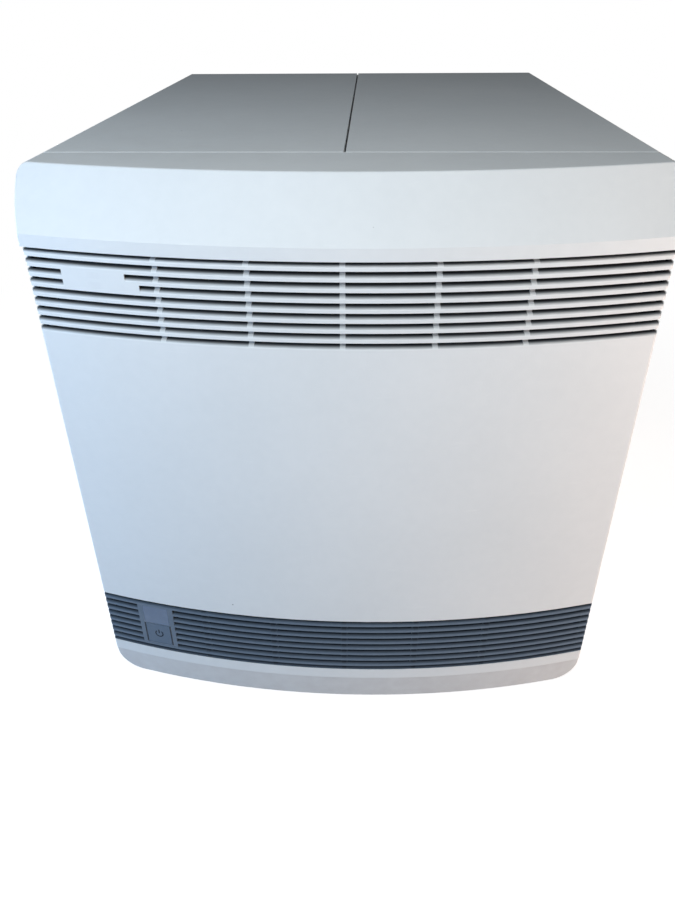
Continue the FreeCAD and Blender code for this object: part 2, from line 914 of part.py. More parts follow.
# Plate tray
def arm_target():
    return V(pivot_x, pivot_y + arm_reach, tray_z)


def tray_arm():
    target = arm_target()
    ring = rounded_slab(target.x, target.y, tray_z, tray_z + arm_t, nest_w, nest_l, 6)
    ring = ring.cut(rounded_slab(target.x, target.y, tray_z - 1, tray_z + arm_t + 1, hole_w + 4, hole_l + 4, 4))
    near = target.y - nest_l / 2
    half = arm_w / 2
    bar = prism([V(pivot_x - half, pivot_y, tray_z), V(pivot_x + half, pivot_y, tray_z),
                 V(pivot_x + nest_w / 2 - 6, near + 2, tray_z), V(pivot_x - nest_w / 2 + 6, near + 2, tray_z)],
                V(0, 0, arm_t))
    hub = rod(pivot_x, pivot_y, tray_z, tray_z + arm_t, hub_r)
    lift = rod(pivot_x, pivot_y, tray_z, tray_z + 2 * arm_t, hub_r - 6)
    bore = rod(pivot_x, pivot_y, tray_z - 1, tray_z + 2 * arm_t + 1, shaft_r)
    return fuse([ring, bar, hub, lift]).cut(bore)


def plate_adapter():
    target = arm_target()
    z0 = tray_z + arm_t
    z1 = z0 + nest_h
    body = rounded_slab(target.x, target.y, z0, z1, nest_w, nest_l, 6)
    nest = rounded_slab(target.x, target.y, z0 + nest_floor, z1 + 1, micro_w + micro_gap, micro_l + micro_gap, 3)
    hole = rounded_slab(target.x, target.y, z0 - 1, z1 + 1, hole_w, hole_l, 3)
    grips = rounded_slab(target.x, target.y, z0 + nest_floor, z1 + 1, nest_w + 2, 34, 4)
    return body.cut([nest, hole, grips])


def tray_shaft():
    top = tray_z + 2 * arm_t
    shelf = pedestal_shelf_z - bearing_w
    flange = rod(pivot_x, pivot_y, tray_z - hub_t, tray_z, hub_r)
    shaft = rod(pivot_x, pivot_y, shelf, top, shaft_r)
    end = rod(pivot_x, pivot_y, shelf - shaft_end, shelf + 1, shaft_end_r)
    return fuse([flange, shaft, end])


def pedestal_top():
    return tray_z - hub_t - fit


def tray_bearings():
    rings = []
    for top in (pedestal_top(), pedestal_shelf_z):
        ring = rod(pivot_x, pivot_y, top - bearing_w, top, bearing_r)
        rings.append(ring.cut(rod(pivot_x, pivot_y, top - bearing_w - 1, top + 1, shaft_r + running)))
    return group(rings)


def tray_pedestal():
    inner = pedestal_w - 2 * pedestal_t
    column = rounded_slab(pivot_x, pivot_y, pan_top, pedestal_top(), pedestal_w, pedestal_w, 4)
    column = column.cut(slab(pivot_x, pivot_y, pan_top - 1, pedestal_top() - pedestal_plate, inner, inner))
    shelf = slab(pivot_x, pivot_y, pedestal_shelf_z - pedestal_plate, pedestal_shelf_z, inner + 1, inner + 1)
    foot = rounded_slab(pivot_x, pivot_y, pan_top, pan_top + pedestal_t, pedestal_w + 30, pedestal_w + 30, 6)
    window = box(pivot_x - inner / 2 + 6, pivot_x + inner / 2 - 6, pivot_y - pedestal_w, pivot_y + pedestal_w,
                 pan_top + 20, pedestal_shelf_z - pedestal_plate - 10)
    opening = box(pivot_x - inner / 2 + 6, pivot_x + inner / 2 - 6, pivot_y - pedestal_w, pivot_y + pedestal_w,
                  pedestal_shelf_z + 10, pedestal_top() - pedestal_plate - 10)
    bores = [rod(pivot_x, pivot_y, pedestal_shelf_z - pedestal_plate - 1, pedestal_top() + 1, shaft_r + 2)]
    for top in (pedestal_top(), pedestal_shelf_z):
        bores.append(rod(pivot_x, pivot_y, top - bearing_w, top + 1, bearing_r))
    return fuse([column.cut([window, opening]), shelf, foot]).cut(bores)


def tray_motor():
    top = pedestal_shelf_z - pedestal_plate
    body = rounded_slab(pivot_x, pivot_y, top - tray_motor_h, top, tray_motor_w, tray_motor_w, 5)
    depth_in = pedestal_shelf_z - bearing_w - shaft_end - fit
    return body.cut(rod(pivot_x, pivot_y, depth_in, top + 1, shaft_end_r + running))


# Thermal module
def sink_top():
    return block_top - block_t - peltier_t


def carrier_top():
    return sink_top() - sink_base - fin_h


# A tapered well with six flats
def well(x, y):
    tip = hexagon(x, y, block_top - well_depth, well_tip_r)
    mouth = hexagon(x, y, block_top, well_top_r)
    return frustum(tip, mouth)


def sample_block():
    block = rounded_slab(block_x, block_y, block_top - block_t, block_top, block_w, block_l, 3)
    foot = slab(block_x, block_y, block_top - block_t, block_top - block_t + 6, sink_w - 8, sink_l - 14)
    wells = []
    for i in range(well_rows):
        for j in range(well_columns):
            x = block_x + (i - (well_rows - 1) / 2) * well_pitch
            y = block_y + (j - (well_columns - 1) / 2) * well_pitch
            wells.append(well(x, y))
    return fuse([block, foot]).cut(wells)


def peltier_modules():
    plates = []
    for i in (-1, 1):
        for j in (-1, 0, 1):
            x = block_x + i * (peltier_w / 2 + 1)
            y = block_y + j * (peltier_l + 2)
            plates.append(slab(x, y, sink_top(), sink_top() + peltier_t, peltier_w, peltier_l))
    return group(plates)


def heat_sink():
    pieces = [slab(block_x, block_y, sink_top() - sink_base, sink_top(), sink_w, sink_l)]
    count = int((sink_w - fin_t) / fin_pitch) + 1
    first = block_x - (count - 1) * fin_pitch / 2
    for i in range(count):
        pieces.append(slab(first + i * fin_pitch, block_y, carrier_top(), sink_top() - sink_base + 0.5, fin_t, sink_l))
    return fuse(pieces)


def guide_places():
    return [(block_x + i * guide_x, block_y + j * guide_y) for i in (-1, 1) for j in (-1, 1)]


def module_carrier():
    top = carrier_top()
    plate = rounded_slab(block_x, block_y, top - carrier_t, top, carrier_w, carrier_l, 8)
    pieces = [plate]
    for x, y in guide_places():
        pieces.append(slab(x, y, top - bush_h / 2, top + bush_h / 2, 2 * bush_r, 2 * bush_r))
    edge = block_y - carrier_l / 2
    pieces.append(box(jack_x - jack_lug_w / 2, min(jack_x + jack_lug_w / 2, block_x + carrier_w / 2 - 2),
                      jack_y - jack_lug_w / 2, edge + 4, top - bush_h / 2, top + bush_h / 2))
    bores = [rod(block_x, block_y, top - carrier_t - 1, top + 1, fan_bore_r)]
    for x, y in guide_places():
        bores.append(rod(x, y, top - bush_h, top + bush_h, guide_r + running))
    bores.append(rod(jack_x, jack_y, top - bush_h, top + bush_h, jack_r + running))
    return fuse(pieces).cut(bores)


def module_guides():
    rods = []
    for x, y in guide_places():
        foot = slab(x, y, pan_top, pan_top + guide_foot_h, guide_foot_w, guide_foot_w)
        rods.append(fuse([rod(x, y, pan_top, guide_top, guide_r), foot]))
    return group(rods)


def jack_screw():
    screw = rod(jack_x, jack_y, pan_top + pan_t, jack_top - jack_hex_h + 1, jack_r)
    flats = hexagon(jack_x, jack_y, jack_top - jack_hex_h, jack_hex / math.sqrt(3))
    head = prism(flats, V(0, 0, jack_hex_h))
    return fuse([screw, head])


def jack_base():
    body = rounded_slab(jack_x, jack_y, pan_top, pan_top + jack_base_h, jack_base_w, jack_base_w, 5)
    return body.cut(rod(jack_x, jack_y, pan_top + pan_t - fit, pan_top + jack_base_h + 1, jack_r + running))


# Fans, built about the Z axis from z = 0 and then placed
def fan_frame():
    frame = rounded_slab(0, 0, 0, fan_t, fan_w, fan_w, 6).cut(rod(0, 0, -1, fan_t + 1, fan_bore_r))
    hub = rod(0, 0, 0, fan_web, fan_hub_r - 2)
    pin = rod(0, 0, 0, fan_t - 2 * fan_web, fan_pin_r)
    struts = []
    for angle in (45, 135):
        strut = slab(0, 0, 0, fan_web, 2 * fan_bore_r + 2, fan_strut)
        strut.rotate(V(0, 0, 0), V(0, 0, 1), angle)
        struts.append(strut)
    return fuse([frame, hub, pin] + struts)


def fan_rotor():
    low = fan_web + fit
    high = fan_t - fan_web
    hub = rod(0, 0, low, high, fan_hub_r)
    tilt = math.radians(blade_tilt)
    half_chord = ((high - low) / 2 - blade_t) / math.cos(tilt)
    reach = math.sqrt(blade_r ** 2 - (half_chord * math.sin(tilt) + blade_t) ** 2)
    blades = []
    for i in range(blade_count):
        blade = box(blade_root, reach, -blade_t / 2, blade_t / 2, -half_chord, half_chord)
        blade.rotate(V(0, 0, 0), V(1, 0, 0), blade_tilt)
        blade.translate(V(0, 0, (low + high) / 2))
        blade.rotate(V(0, 0, 0), V(0, 0, 1), 360 / blade_count * i)
        blades.append(blade)
    bore = rod(0, 0, low - 1, fan_t - 2 * fan_web + fit, fan_pin_r + running)
    return fuse([hub] + blades).cut(bore)


def fan_under_block(shape):
    placed = shape.copy()
    placed.translate(V(block_x, block_y, carrier_top() - carrier_t - fan_t))
    return placed


def fan_at_rear(shape, x, z):
    placed = shape.copy()
    placed.rotate(V(0, 0, 0), V(1, 0, 0), -90)
    placed.translate(V(x, rear_in - fan_t, z))
    return placed


# Heated cover
def heated_platen():
    plate = rounded_slab(block_x, block_y, platen_z, platen_z + platen_t, platen_w, platen_l, 5)
    slots = []
    for i in range(lens_count):
        x = block_x + (i - (lens_count - 1) / 2) * well_pitch
        slots.append(slab(x, block_y, platen_z - 1, platen_z + platen_t + 1, scan_slot_w, scan_slot_l))
    return plate.cut(slots)


def lid_rods():
    return [(block_x + i * lid_rod_x, block_y + j * lid_rod_y) for i in (-1, 1) for j in (-1, 1)]


def cover_frame():
    z0 = platen_z + platen_t
    z1 = z0 + lid_t
    pieces = [rounded_slab(block_x, block_y, z0, z1, lid_w, lid_l, 8)]
    for x, y in lid_rods():
        pieces.append(slab(x, y, z0, z0 + lid_bush_h, 2 * lid_bush_r, 2 * lid_bush_r))
    half = lift_lug_w / 2
    pieces.append(box(block_x - half, block_x + half, lift_y - half, block_y - lid_l / 2 + 10, z0, z0 + lift_lug_t))
    bores = [slab(block_x, block_y, z0 - 1, z1 + 1, lid_hole_w, scan_slot_l)]
    for x, y in lid_rods():
        bores.append(rod(x, y, z0 - 1, z0 + lid_bush_h + 1, lid_rod_r + running))
    bores.append(rod(block_x, lift_y, z0 - 1, z0 + lift_lug_t + 1, lift_r + running))
    return fuse(pieces).cut(bores)


def cover_guide_rods():
    return group([rod(x, y, lid_rod_z0, deck_z + bridge_t, lid_rod_r) for x, y in lid_rods()])


def motor_on_bridge():
    return deck_z + bridge_t


def cover_lift_screw():
    return rod(block_x, lift_y, lid_rod_z0, motor_on_bridge() + motor_bore, lift_r)


def cover_motor():
    z0 = motor_on_bridge()
    body = rounded_slab(block_x, lift_y, z0, z0 + motor_l, motor_w, motor_w, 4)
    return body.cut(rod(block_x, lift_y, z0 - 1, z0 + motor_bore + fit, lift_r + running))


# Bridge, tracks and scanning carriage
def bridge_plates():
    x1 = post_half - post_t
    z1 = deck_z + bridge_t
    front = box(mid_rail_x, x1, bridge_front_y, bridge_gap_y0, deck_z, z1)
    rear = box(mid_rail_x, x1, bridge_gap_y1, bridge_rear_y, deck_z, z1)
    bores = [rod(x, y, deck_z - 1, z1 + 1, lid_rod_r) for x, y in lid_rods()]
    bores.append(rod(block_x, lift_y, deck_z - 1, z1 + 1, lift_r + running))
    return group([front.cut(bores), rear.cut(bores)])


def scan_tracks():
    z0 = deck_z + bridge_t
    tracks = []
    for side in (-1, 1):
        x = block_x + side * track_x
        track = box(x - track_w / 2, x + track_w / 2, track_y0, track_y1, z0, z0 + track_h)
        for edge in (-1, 1):
            track = track.cut(slab(x + edge * track_w / 2, (track_y0 + track_y1) / 2, z0 + 4, z0 + 8,
                                   4, track_y1 - track_y0 + 2))
        tracks.append(track)
    return group(tracks)


def carriage_home():
    return block_y - scan_travel / 2


def carriage_z():
    return deck_z + bridge_t + track_h + carriage_lift


def screw_z():
    return deck_z + bridge_t + motor_w / 2


def scan_carriage():
    y = carriage_home()
    z0 = carriage_z()
    pieces = [rounded_slab(block_x, y, z0, z0 + carriage_t, carriage_w, carriage_l, 6)]
    grooves = []
    for side in (-1, 1):
        x = block_x + side * track_x
        pieces.append(slab(x, y, z0 - track_h, z0 + 1, runner_w, carriage_l - 8))
        grooves.append(box(x - track_w / 2 - fit, x + track_w / 2 + fit, y - carriage_l, y + carriage_l,
                           z0 - track_h - 1, z0 - carriage_lift + fit))
    half = screw_block_w / 2
    pieces.append(box(screw_x - half, block_x - carriage_w / 2 + 8, y - 12, y + 12,
                      screw_z() - half + 2, screw_z() + half - 2))
    pieces.append(slab(mirror_x, y, z0 + carriage_t - 1, beam_z + prism_w / 2, prism_w, prism_w))
    grooves.append(slab(block_x, y, z0 - 1, z0 + carriage_t + 1, lens_bar_w, lens_bar_l))
    grooves.append(rod_y(screw_x, screw_z(), y - 20, y + 20, screw_r + running))
    return fuse(pieces).cut(grooves)


def lens_row():
    y = carriage_home()
    z0 = carriage_z() - track_h + lens_snout
    top = carriage_z() + carriage_t
    pieces = [slab(block_x, y, z0, top + 3, lens_bar_w, lens_bar_l),
              slab(block_x, y, top, top + 3, lens_bar_w + 8, lens_bar_l + 8)]
    for i in range(lens_count):
        x = block_x + (i - (lens_count - 1) / 2) * well_pitch
        pieces.append(prism(flat_ring(x, y, z0 - lens_snout + 1, lens_r, 8), V(0, 0, lens_snout)))
    return fuse(pieces)


def screw_motor_y():
    return screw_block_rear + screw_block_t + fit


def scan_screw():
    return rod_y(screw_x, screw_z(), screw_block_front, screw_motor_y() + motor_bore, screw_r)


def scan_screw_bearings():
    blocks = []
    half = screw_block_w / 2
    for y in (screw_block_front, screw_block_rear):
        block = box(screw_x - half, screw_x + half, y, y + screw_block_t, deck_z + bridge_t, screw_z() + half)
        blocks.append(block.cut(rod_y(screw_x, screw_z(), y - 1, y + screw_block_t + 1, screw_r + running)))
    return group(blocks)


def scan_motor():
    y0 = screw_motor_y()
    half = motor_w / 2
    body = box(screw_x - half, screw_x + half, y0, y0 + motor_l, screw_z() - half, screw_z() + half)
    return body.cut(rod_y(screw_x, screw_z(), y0 - 1, y0 + motor_bore + fit, screw_r + running))


# Optics on the deck
def laser_head():
    half = laser_w / 2
    outline = elevation(half, beam_z - half, beam_z + half, laser_corner, laser_corner, laser_y0, laser_y0 + laser_l)
    outline.translate(V(laser_x, 0, 0))
    grooves = []
    for i in range(-3, 4):
        grooves.append(box(laser_x + i * 12 - 2, laser_x + i * 12 + 2, laser_y0 + 20, laser_y0 + laser_l - 20,
                           beam_z + half - 3, beam_z + half + 1))
    saddles = []
    for y in (laser_y0 + 40, laser_y0 + laser_l - 60):
        saddles.append(box(laser_x - half + 8, laser_x + half - 8, y, y + saddle_t, deck_top, beam_z - half + 2))
    wall = 2 * case_wall
    room = box(laser_x - half + wall, laser_x + half - wall, laser_y0 + wall, laser_y0 + laser_l - wall,
               beam_z - half + wall, beam_z + half - wall)
    return fuse([outline.cut(grooves + [room])] + saddles)


def square(x, y, z, w):
    half = w / 2
    return [V(x - half, y, z - half), V(x + half, y, z - half), V(x + half, y, z + half), V(x - half, y, z + half)]


def laser_duct():
    y0 = laser_y0 + laser_l
    y1 = rear_in - fan_t
    narrow = laser_w - 10
    wide = fan_w - 4
    outer = frustum(square(laser_x, y0, beam_z, narrow), square(upper_fan_x, y1, upper_fan_z, wide))
    inner = frustum(square(laser_x, y0 - 1, beam_z, narrow - 2 * duct_wall),
                    square(upper_fan_x, y1 + 1, upper_fan_z, wide - 2 * duct_wall))
    return outer.cut(inner)


def mirror_mount(x, turn, floor):
    half = mount_w / 2
    block = slab(x, beam_y, beam_z - half, beam_z + half, mount_w, mount_w)
    corner = prism([V(x + turn * half, beam_y - half, beam_z - half - 1),
                    V(x - turn * half, beam_y - half, beam_z - half - 1),
                    V(x + turn * half, beam_y + half, beam_z - half - 1)], V(0, 0, mount_w + 2))
    corner.translate(V(turn * 8, -8, 0))
    post = rod(x, beam_y, floor, beam_z - half + 1, mount_post / 2)
    foot = rounded_slab(x, beam_y, floor, floor + 6, mount_w, mount_w, 5)
    return fuse([block.cut(corner), post, foot])


def mirror_mounts():
    return group([mirror_mount(laser_x, -1, deck_top), mirror_mount(splitter_x, 1, deck_top),
                  mirror_mount(mirror_x, 1, deck_z + bridge_t)])


def beam_tube():
    half = mount_w / 2
    tubes = []
    for bore in (tube_r, tube_bore):
        shapes = [rod_y(laser_x, beam_z, beam_y + half, laser_y0, bore),
                  rod_x(beam_y, beam_z, laser_x + half, splitter_x - half, bore),
                  rod_x(beam_y, beam_z, splitter_x + half, mirror_x - half, bore),
                  rod_y(splitter_x, beam_z, beam_y + half, spectro_y0, bore)]
        tubes.append(shapes)
    return group([outer.cut(inner) for outer, inner in zip(tubes[0], tubes[1])])


def spectrograph():
    half = spectro_w / 2
    z0 = deck_top + 8
    y1 = spectro_y0 + spectro_l
    front_half = half - spectro_taper
    points = [V(splitter_x - front_half, spectro_y0, z0), V(splitter_x + front_half, spectro_y0, z0),
              V(splitter_x + half, spectro_y0 + 2 * spectro_taper, z0), V(splitter_x + half, y1, z0),
              V(splitter_x - half, y1, z0), V(splitter_x - half, spectro_y0 + 2 * spectro_taper, z0)]
    room = box(splitter_x - half + case_wall, splitter_x + half - case_wall, spectro_y0 + 2 * spectro_taper,
               y1 - case_wall, z0 + case_wall, z0 + spectro_h - case_wall)
    body = rounded(prism(points, V(0, 0, spectro_h)), 6).cut(room)
    feet = []
    for x in (splitter_x - half + 20, splitter_x + half - 20):
        for y in (spectro_y0 + 100, y1 - 20):
            feet.append(slab(x, y, deck_top, z0 + 1, 14, 14))
    lid = slab(splitter_x, (spectro_y0 + 2 * spectro_taper + y1) / 2, z0 + spectro_h - 1, z0 + spectro_h + 4,
               spectro_w - 16, spectro_l - 2 * spectro_taper - 16)
    return fuse([body, lid] + feet)


def ccd_camera():
    y0 = spectro_y0 + spectro_l
    half = camera_w / 2
    z = deck_top + 8 + spectro_h / 2
    body = box(splitter_x - half, splitter_x + half, y0 + 12, y0 + camera_l, z - half, z + half)
    snout = rod_y(splitter_x, z, y0, y0 + 13, half - 12)
    grooves = []
    for i in range(6):
        y = y0 + camera_l - 40 + i * 6
        grooves.append(box(splitter_x - half - 1, splitter_x + half + 1, y, y + 3, z + half - 10, z + half + 1))
    foot = box(splitter_x - 20, splitter_x + 20, y0 + 30, y0 + 70, deck_top, z - half + 1)
    return fuse([body.cut(grooves), snout, foot])


# Electronics
def case(x0, x1, y0, y1, z1):
    wall = supply_wall
    shell = box(x0, x1, y0, y1, pan_top, z1)
    return shell.cut(box(x0 + wall, x1 - wall, y0 + wall, y1 - wall, pan_top + wall, z1 - wall))


def laser_supply():
    x1 = supply_x0 + laser_supply_w
    y1 = laser_supply_y0 + laser_supply_l
    z1 = pan_top + laser_supply_h
    slots = []
    for i in range(int((laser_supply_l - supply_slot_step) / supply_slot_step)):
        y = laser_supply_y0 + (i + 1) * supply_slot_step
        slots.append(box(x1 - 2 * supply_wall, x1 + 1, y, y + supply_slot, pan_top + 30, z1 - 30))
    return case(supply_x0, x1, laser_supply_y0, y1, z1).cut(slots)


def power_supply():
    x1 = supply_x0 + supply_w
    y1 = supply_y0 + supply_l
    z1 = pan_top + supply_h
    slots = []
    for i in range(int((supply_w - supply_slot_step) / supply_slot_step)):
        x = supply_x0 + (i + 1) * supply_slot_step
        slots.append(box(x, x + supply_slot, supply_y0 + 30, y1 - 30, z1 - 2 * supply_wall, z1 + 1))
    return case(supply_x0, x1, supply_y0, y1, z1).cut(slots)


def control_board():
    z0 = pan_top + board_lift
    z1 = z0 + board_t
    x1 = board_x0 + board_w
    y1 = board_y0 + board_l
    pieces = [box(board_x0, x1, board_y0, y1, z0, z1)]
    for x in (board_x0 + 8, x1 - 8):
        for y in (board_y0 + 8, y1 - 8):
            pieces.append(prism(hexagon(x, y, pan_top, standoff_r), V(0, 0, board_lift + 0.5)))
    pieces.append(box(board_x0 + 30, board_x0 + 70, board_y0 + 60, board_y0 + 100, z0 + 1, z1 + 12))
    pieces.append(box(board_x0 + 90, board_x0 + 120, board_y0 + 40, board_y0 + 70, z0 + 1, z1 + 4))
    for i in range(4):
        pieces.append(slab(x1 - board_w + 25 + i * 28, y1 - 60, z0 + 1, z1 + 22, 14, 22))
    return fuse(pieces)


def power_inlet():
    flange = box(inlet_x - inlet_w / 2 - 6, inlet_x + inlet_w / 2 + 6, rear_face, rear_y,
                 inlet_z - inlet_h / 2 - 3, inlet_z + inlet_h / 2 + 3)
    body = box(inlet_x - inlet_w / 2 + 4, inlet_x + inlet_w / 2 - 4, rear_face - inlet_back, rear_face + 1,
               inlet_z - inlet_h / 2 + 2, inlet_z + inlet_h / 2 - 2)
    hole = box(inlet_x - inlet_hole_w / 2, inlet_x + inlet_hole_w / 2, rear_y - inlet_hole_deep, rear_y + 1,
               inlet_z - inlet_hole_h / 2, inlet_z + inlet_hole_h / 2)
    pins = []
    for i, lift in ((-1, -2), (0, 2), (1, -2)):
        pins.append(box(inlet_x + i * 7 - 1, inlet_x + i * 7 + 1, rear_y - inlet_hole_deep - 1,
                        rear_y - inlet_hole_deep + 8, inlet_z + lift - 2, inlet_z + lift + 2))
    return fuse([fuse([flange, body]).cut(hole)] + pins)


def data_ports():
    ports = []
    for i in range(3):
        x = ports_x + i * port_step
        flange = box(x - plug_w / 2 - 5, x + plug_w / 2 + 5, rear_face, rear_face + 1.5,
                     ports_z - plug_h / 2 - 3, ports_z + plug_h / 2 + 3)
        taper = plug_h / 4
        half = plug_w / 2 - 2
        low = ports_z - plug_h / 2 + 1
        high = ports_z + plug_h / 2 - 1
        points = [V(x - half, rear_face - 12, high), V(x + half, rear_face - 12, high),
                  V(x + half - taper, rear_face - 12, low), V(x - half + taper, rear_face - 12, low)]
        shell = prism(points, V(0, 12 + ports_proud, 0))
        ports.append(fuse([flange, shell]))
    return group(ports)


def panel_screws():
    heads = []
    for x in (screw_inset - pan_half, 0, pan_half - screw_inset):
        for z in (pan_top + pan_flange - screw_inset, height / 2, height - screw_drop):
            if x != 0 or z != height / 2:
                head = prism(hexagon(0, 0, 0, screw_head_w / math.sqrt(3)), V(0, 0, screw_head_h))
                head.rotate(V(0, 0, 0), V(1, 0, 0), -90)
                head.translate(V(x, rear_face, z))
                heads.append(head)
    return group(heads)


nodes = {
    "front_cover": front_cover,
    "inlet_filter": inlet_filter,
    "lower_grille": lower_grille,
    "status_window": status_window,
    "power_button": power_button,
    "power_switch": power_switch,
    "status_led_board": status_led_board,
    "left_cover": left_cover,
    "right_cover": right_cover,
    "service_cover": service_cover,
    "port_bezel": port_bezel,
    "rear_panel": rear_panel,
    "base_pan": base_pan,
    "levelling_feet": levelling_feet,
    "corner_posts": corner_posts,
    "top_frame": top_frame,
    "deck_frame": deck_frame,
    "optics_deck": optics_deck,
    "bridge_plates": bridge_plates,
    "tray_arm": tray_arm,
    "plate_adapter": plate_adapter,
    "tray_shaft": tray_shaft,
    "tray_bearings": tray_bearings,
    "tray_pedestal": tray_pedestal,
    "tray_motor": tray_motor,
    "sample_block": sample_block,
    "peltier_modules": peltier_modules,
    "heat_sink": heat_sink,
    "module_carrier": module_carrier,
    "module_guides": module_guides,
    "jack_screw": jack_screw,
    "jack_base": jack_base,
    "heated_platen": heated_platen,
    "cover_frame": cover_frame,
    "cover_guide_rods": cover_guide_rods,
    "cover_lift_screw": cover_lift_screw,
    "cover_motor": cover_motor,
    "scan_tracks": scan_tracks,
    "scan_carriage": scan_carriage,
    "lens_row": lens_row,
    "scan_screw": scan_screw,
    "scan_screw_bearings": scan_screw_bearings,
    "scan_motor": scan_motor,
    "laser_head": laser_head,
    "laser_duct": laser_duct,
    "laser_supply": laser_supply,
    "mirror_mounts": mirror_mounts,
    "beam_tubes": beam_tube,
    "spectrograph": spectrograph,
    "ccd_camera": ccd_camera,
    "power_supply": power_supply,
    "control_board": control_board,
    "power_inlet": power_inlet,
    "data_ports": data_ports,
    "panel_screws": panel_screws,
}

frame = fan_frame()
rotor = fan_rotor()
shapes = {name: make() for name, make in nodes.items()}
shapes["block_fan_frame"] = fan_under_block(frame)
shapes["block_fan_rotor"] = fan_under_block(rotor)
shapes["exhaust_fan_frames"] = group([fan_at_rear(frame, upper_fan_x, upper_fan_z),
                                      fan_at_rear(frame, lower_fan_x, lower_fan_z)])
shapes["upper_exhaust_rotor"] = fan_at_rear(rotor, upper_fan_x, upper_fan_z)
shapes["lower_exhaust_rotor"] = fan_at_rear(rotor, lower_fan_x, lower_fan_z)

os.makedirs("parts", exist_ok=True)
for name, shape in shapes.items():
    shape.exportStep("parts/" + name + ".step")
    print(name, len(shape.Solids), shape.isValid(), round(shape.Volume / 1000, 1))
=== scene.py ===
import bpy
import bmesh
import math
from mathutils import Matrix, Vector


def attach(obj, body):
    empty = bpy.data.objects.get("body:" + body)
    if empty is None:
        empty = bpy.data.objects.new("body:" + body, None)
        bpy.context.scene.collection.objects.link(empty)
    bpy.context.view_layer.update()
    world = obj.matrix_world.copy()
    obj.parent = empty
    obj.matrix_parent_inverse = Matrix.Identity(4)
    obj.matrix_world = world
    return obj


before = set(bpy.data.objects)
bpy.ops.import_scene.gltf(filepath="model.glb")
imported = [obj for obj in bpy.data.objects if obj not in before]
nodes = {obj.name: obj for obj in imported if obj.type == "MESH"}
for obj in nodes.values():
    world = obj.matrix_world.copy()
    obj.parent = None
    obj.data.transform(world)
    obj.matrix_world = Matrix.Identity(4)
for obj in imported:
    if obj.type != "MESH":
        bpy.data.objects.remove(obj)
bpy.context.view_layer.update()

# Lengths are in metres, and angles in radians unless a name says degrees.
# The front is an arc about an upright axis. The seam is where the front cover meets the two side covers.
arc_radius = 1.11806
arc_axis_y = 0.70206
seam_y = -0.2883

# Slots of the front: top edge of the first, pitch, count, opening, the depth behind the face at which their shade
# is full, and the factor on the shade at the ribs or webs
louvre_slots = {"top": 0.575, "pitch": 0.0097, "count": 9, "opening": 0.0066, "depth": 0.0027, "at_ribs": 0.45}
grille_slots = {"top": 0.1427, "pitch": 0.00954, "count": 9, "opening": 0.0076, "depth": 0.0026, "at_ribs": 1.15}
slot_room = 0.013
slot_end_x = 0.2985
rib_pitch = 0.0766
rib_half_share = 0.029
past_last_rib = 0.19

# The middle part of a noise's range, which most of the finishes spread over their tones
noise_low = 0.3
noise_high = 0.7


# Short calls for the nodes of a tree
class Tree:
    def __init__(self, tree):
        self.tree = tree
        tree.nodes.clear()

    def add(self, kind, **settings):
        node = self.tree.nodes.new(kind)
        for key, value in settings.items():
            setattr(node, key, value)
        return node

    def link(self, source, target):
        self.tree.links.new(source, target)

    # Sets a socket to a number or a colour, or links another socket to it
    def feed(self, socket, value):
        if isinstance(value, (int, float)):
            socket.default_value = value
        elif isinstance(value, tuple):
            socket.default_value = (*value, 1)
        else:
            self.link(value, socket)

    def maths(self, operation, first, second=0):
        node = self.add("ShaderNodeMath", operation=operation)
        self.feed(node.inputs[0], first)
        self.feed(node.inputs[1], second)
        return node.outputs[0]

    def plus(self, first, second):
        return self.maths("ADD", first, second)

    def minus(self, first, second):
        return self.maths("SUBTRACT", first, second)

    def times(self, first, *others):
        for other in others:
            first = self.maths("MULTIPLY", first, other)
        return first

    def size_of(self, value):
        return self.maths("ABSOLUTE", value)

    def ramp(self, value, low, high, to_low=0.0, to_high=1.0, **settings):
        node = self.add("ShaderNodeMapRange", **settings)
        ends = {"From Min": low, "From Max": high, "To Min": to_low, "To Max": to_high}
        for name, end in ends.items():
            node.inputs[name].default_value = end
        self.link(value, node.inputs["Value"])
        return node.outputs[0]

    def blend(self, factor, first, second):
        node = self.add("ShaderNodeMix", data_type="RGBA")
        self.link(factor, node.inputs[0])
        self.feed(node.inputs[6], first)
        self.feed(node.inputs[7], second)
        return node.outputs[2]

    # A diffuse surface, an emission or a background of one colour
    def plain_shader(self, kind, colour=None, strength=None):
        node = self.add(kind)
        for name, value in (("Color", colour), ("Strength", strength)):
            if value is not None:
                self.feed(node.inputs[name], value)
        return node.outputs[0]

    def mix_shaders(self, factor, first, second):
        node = self.add("ShaderNodeMixShader")
        for socket, value in zip(node.inputs, (factor, first, second)):
            self.link(value, socket)
        return node.outputs[0]


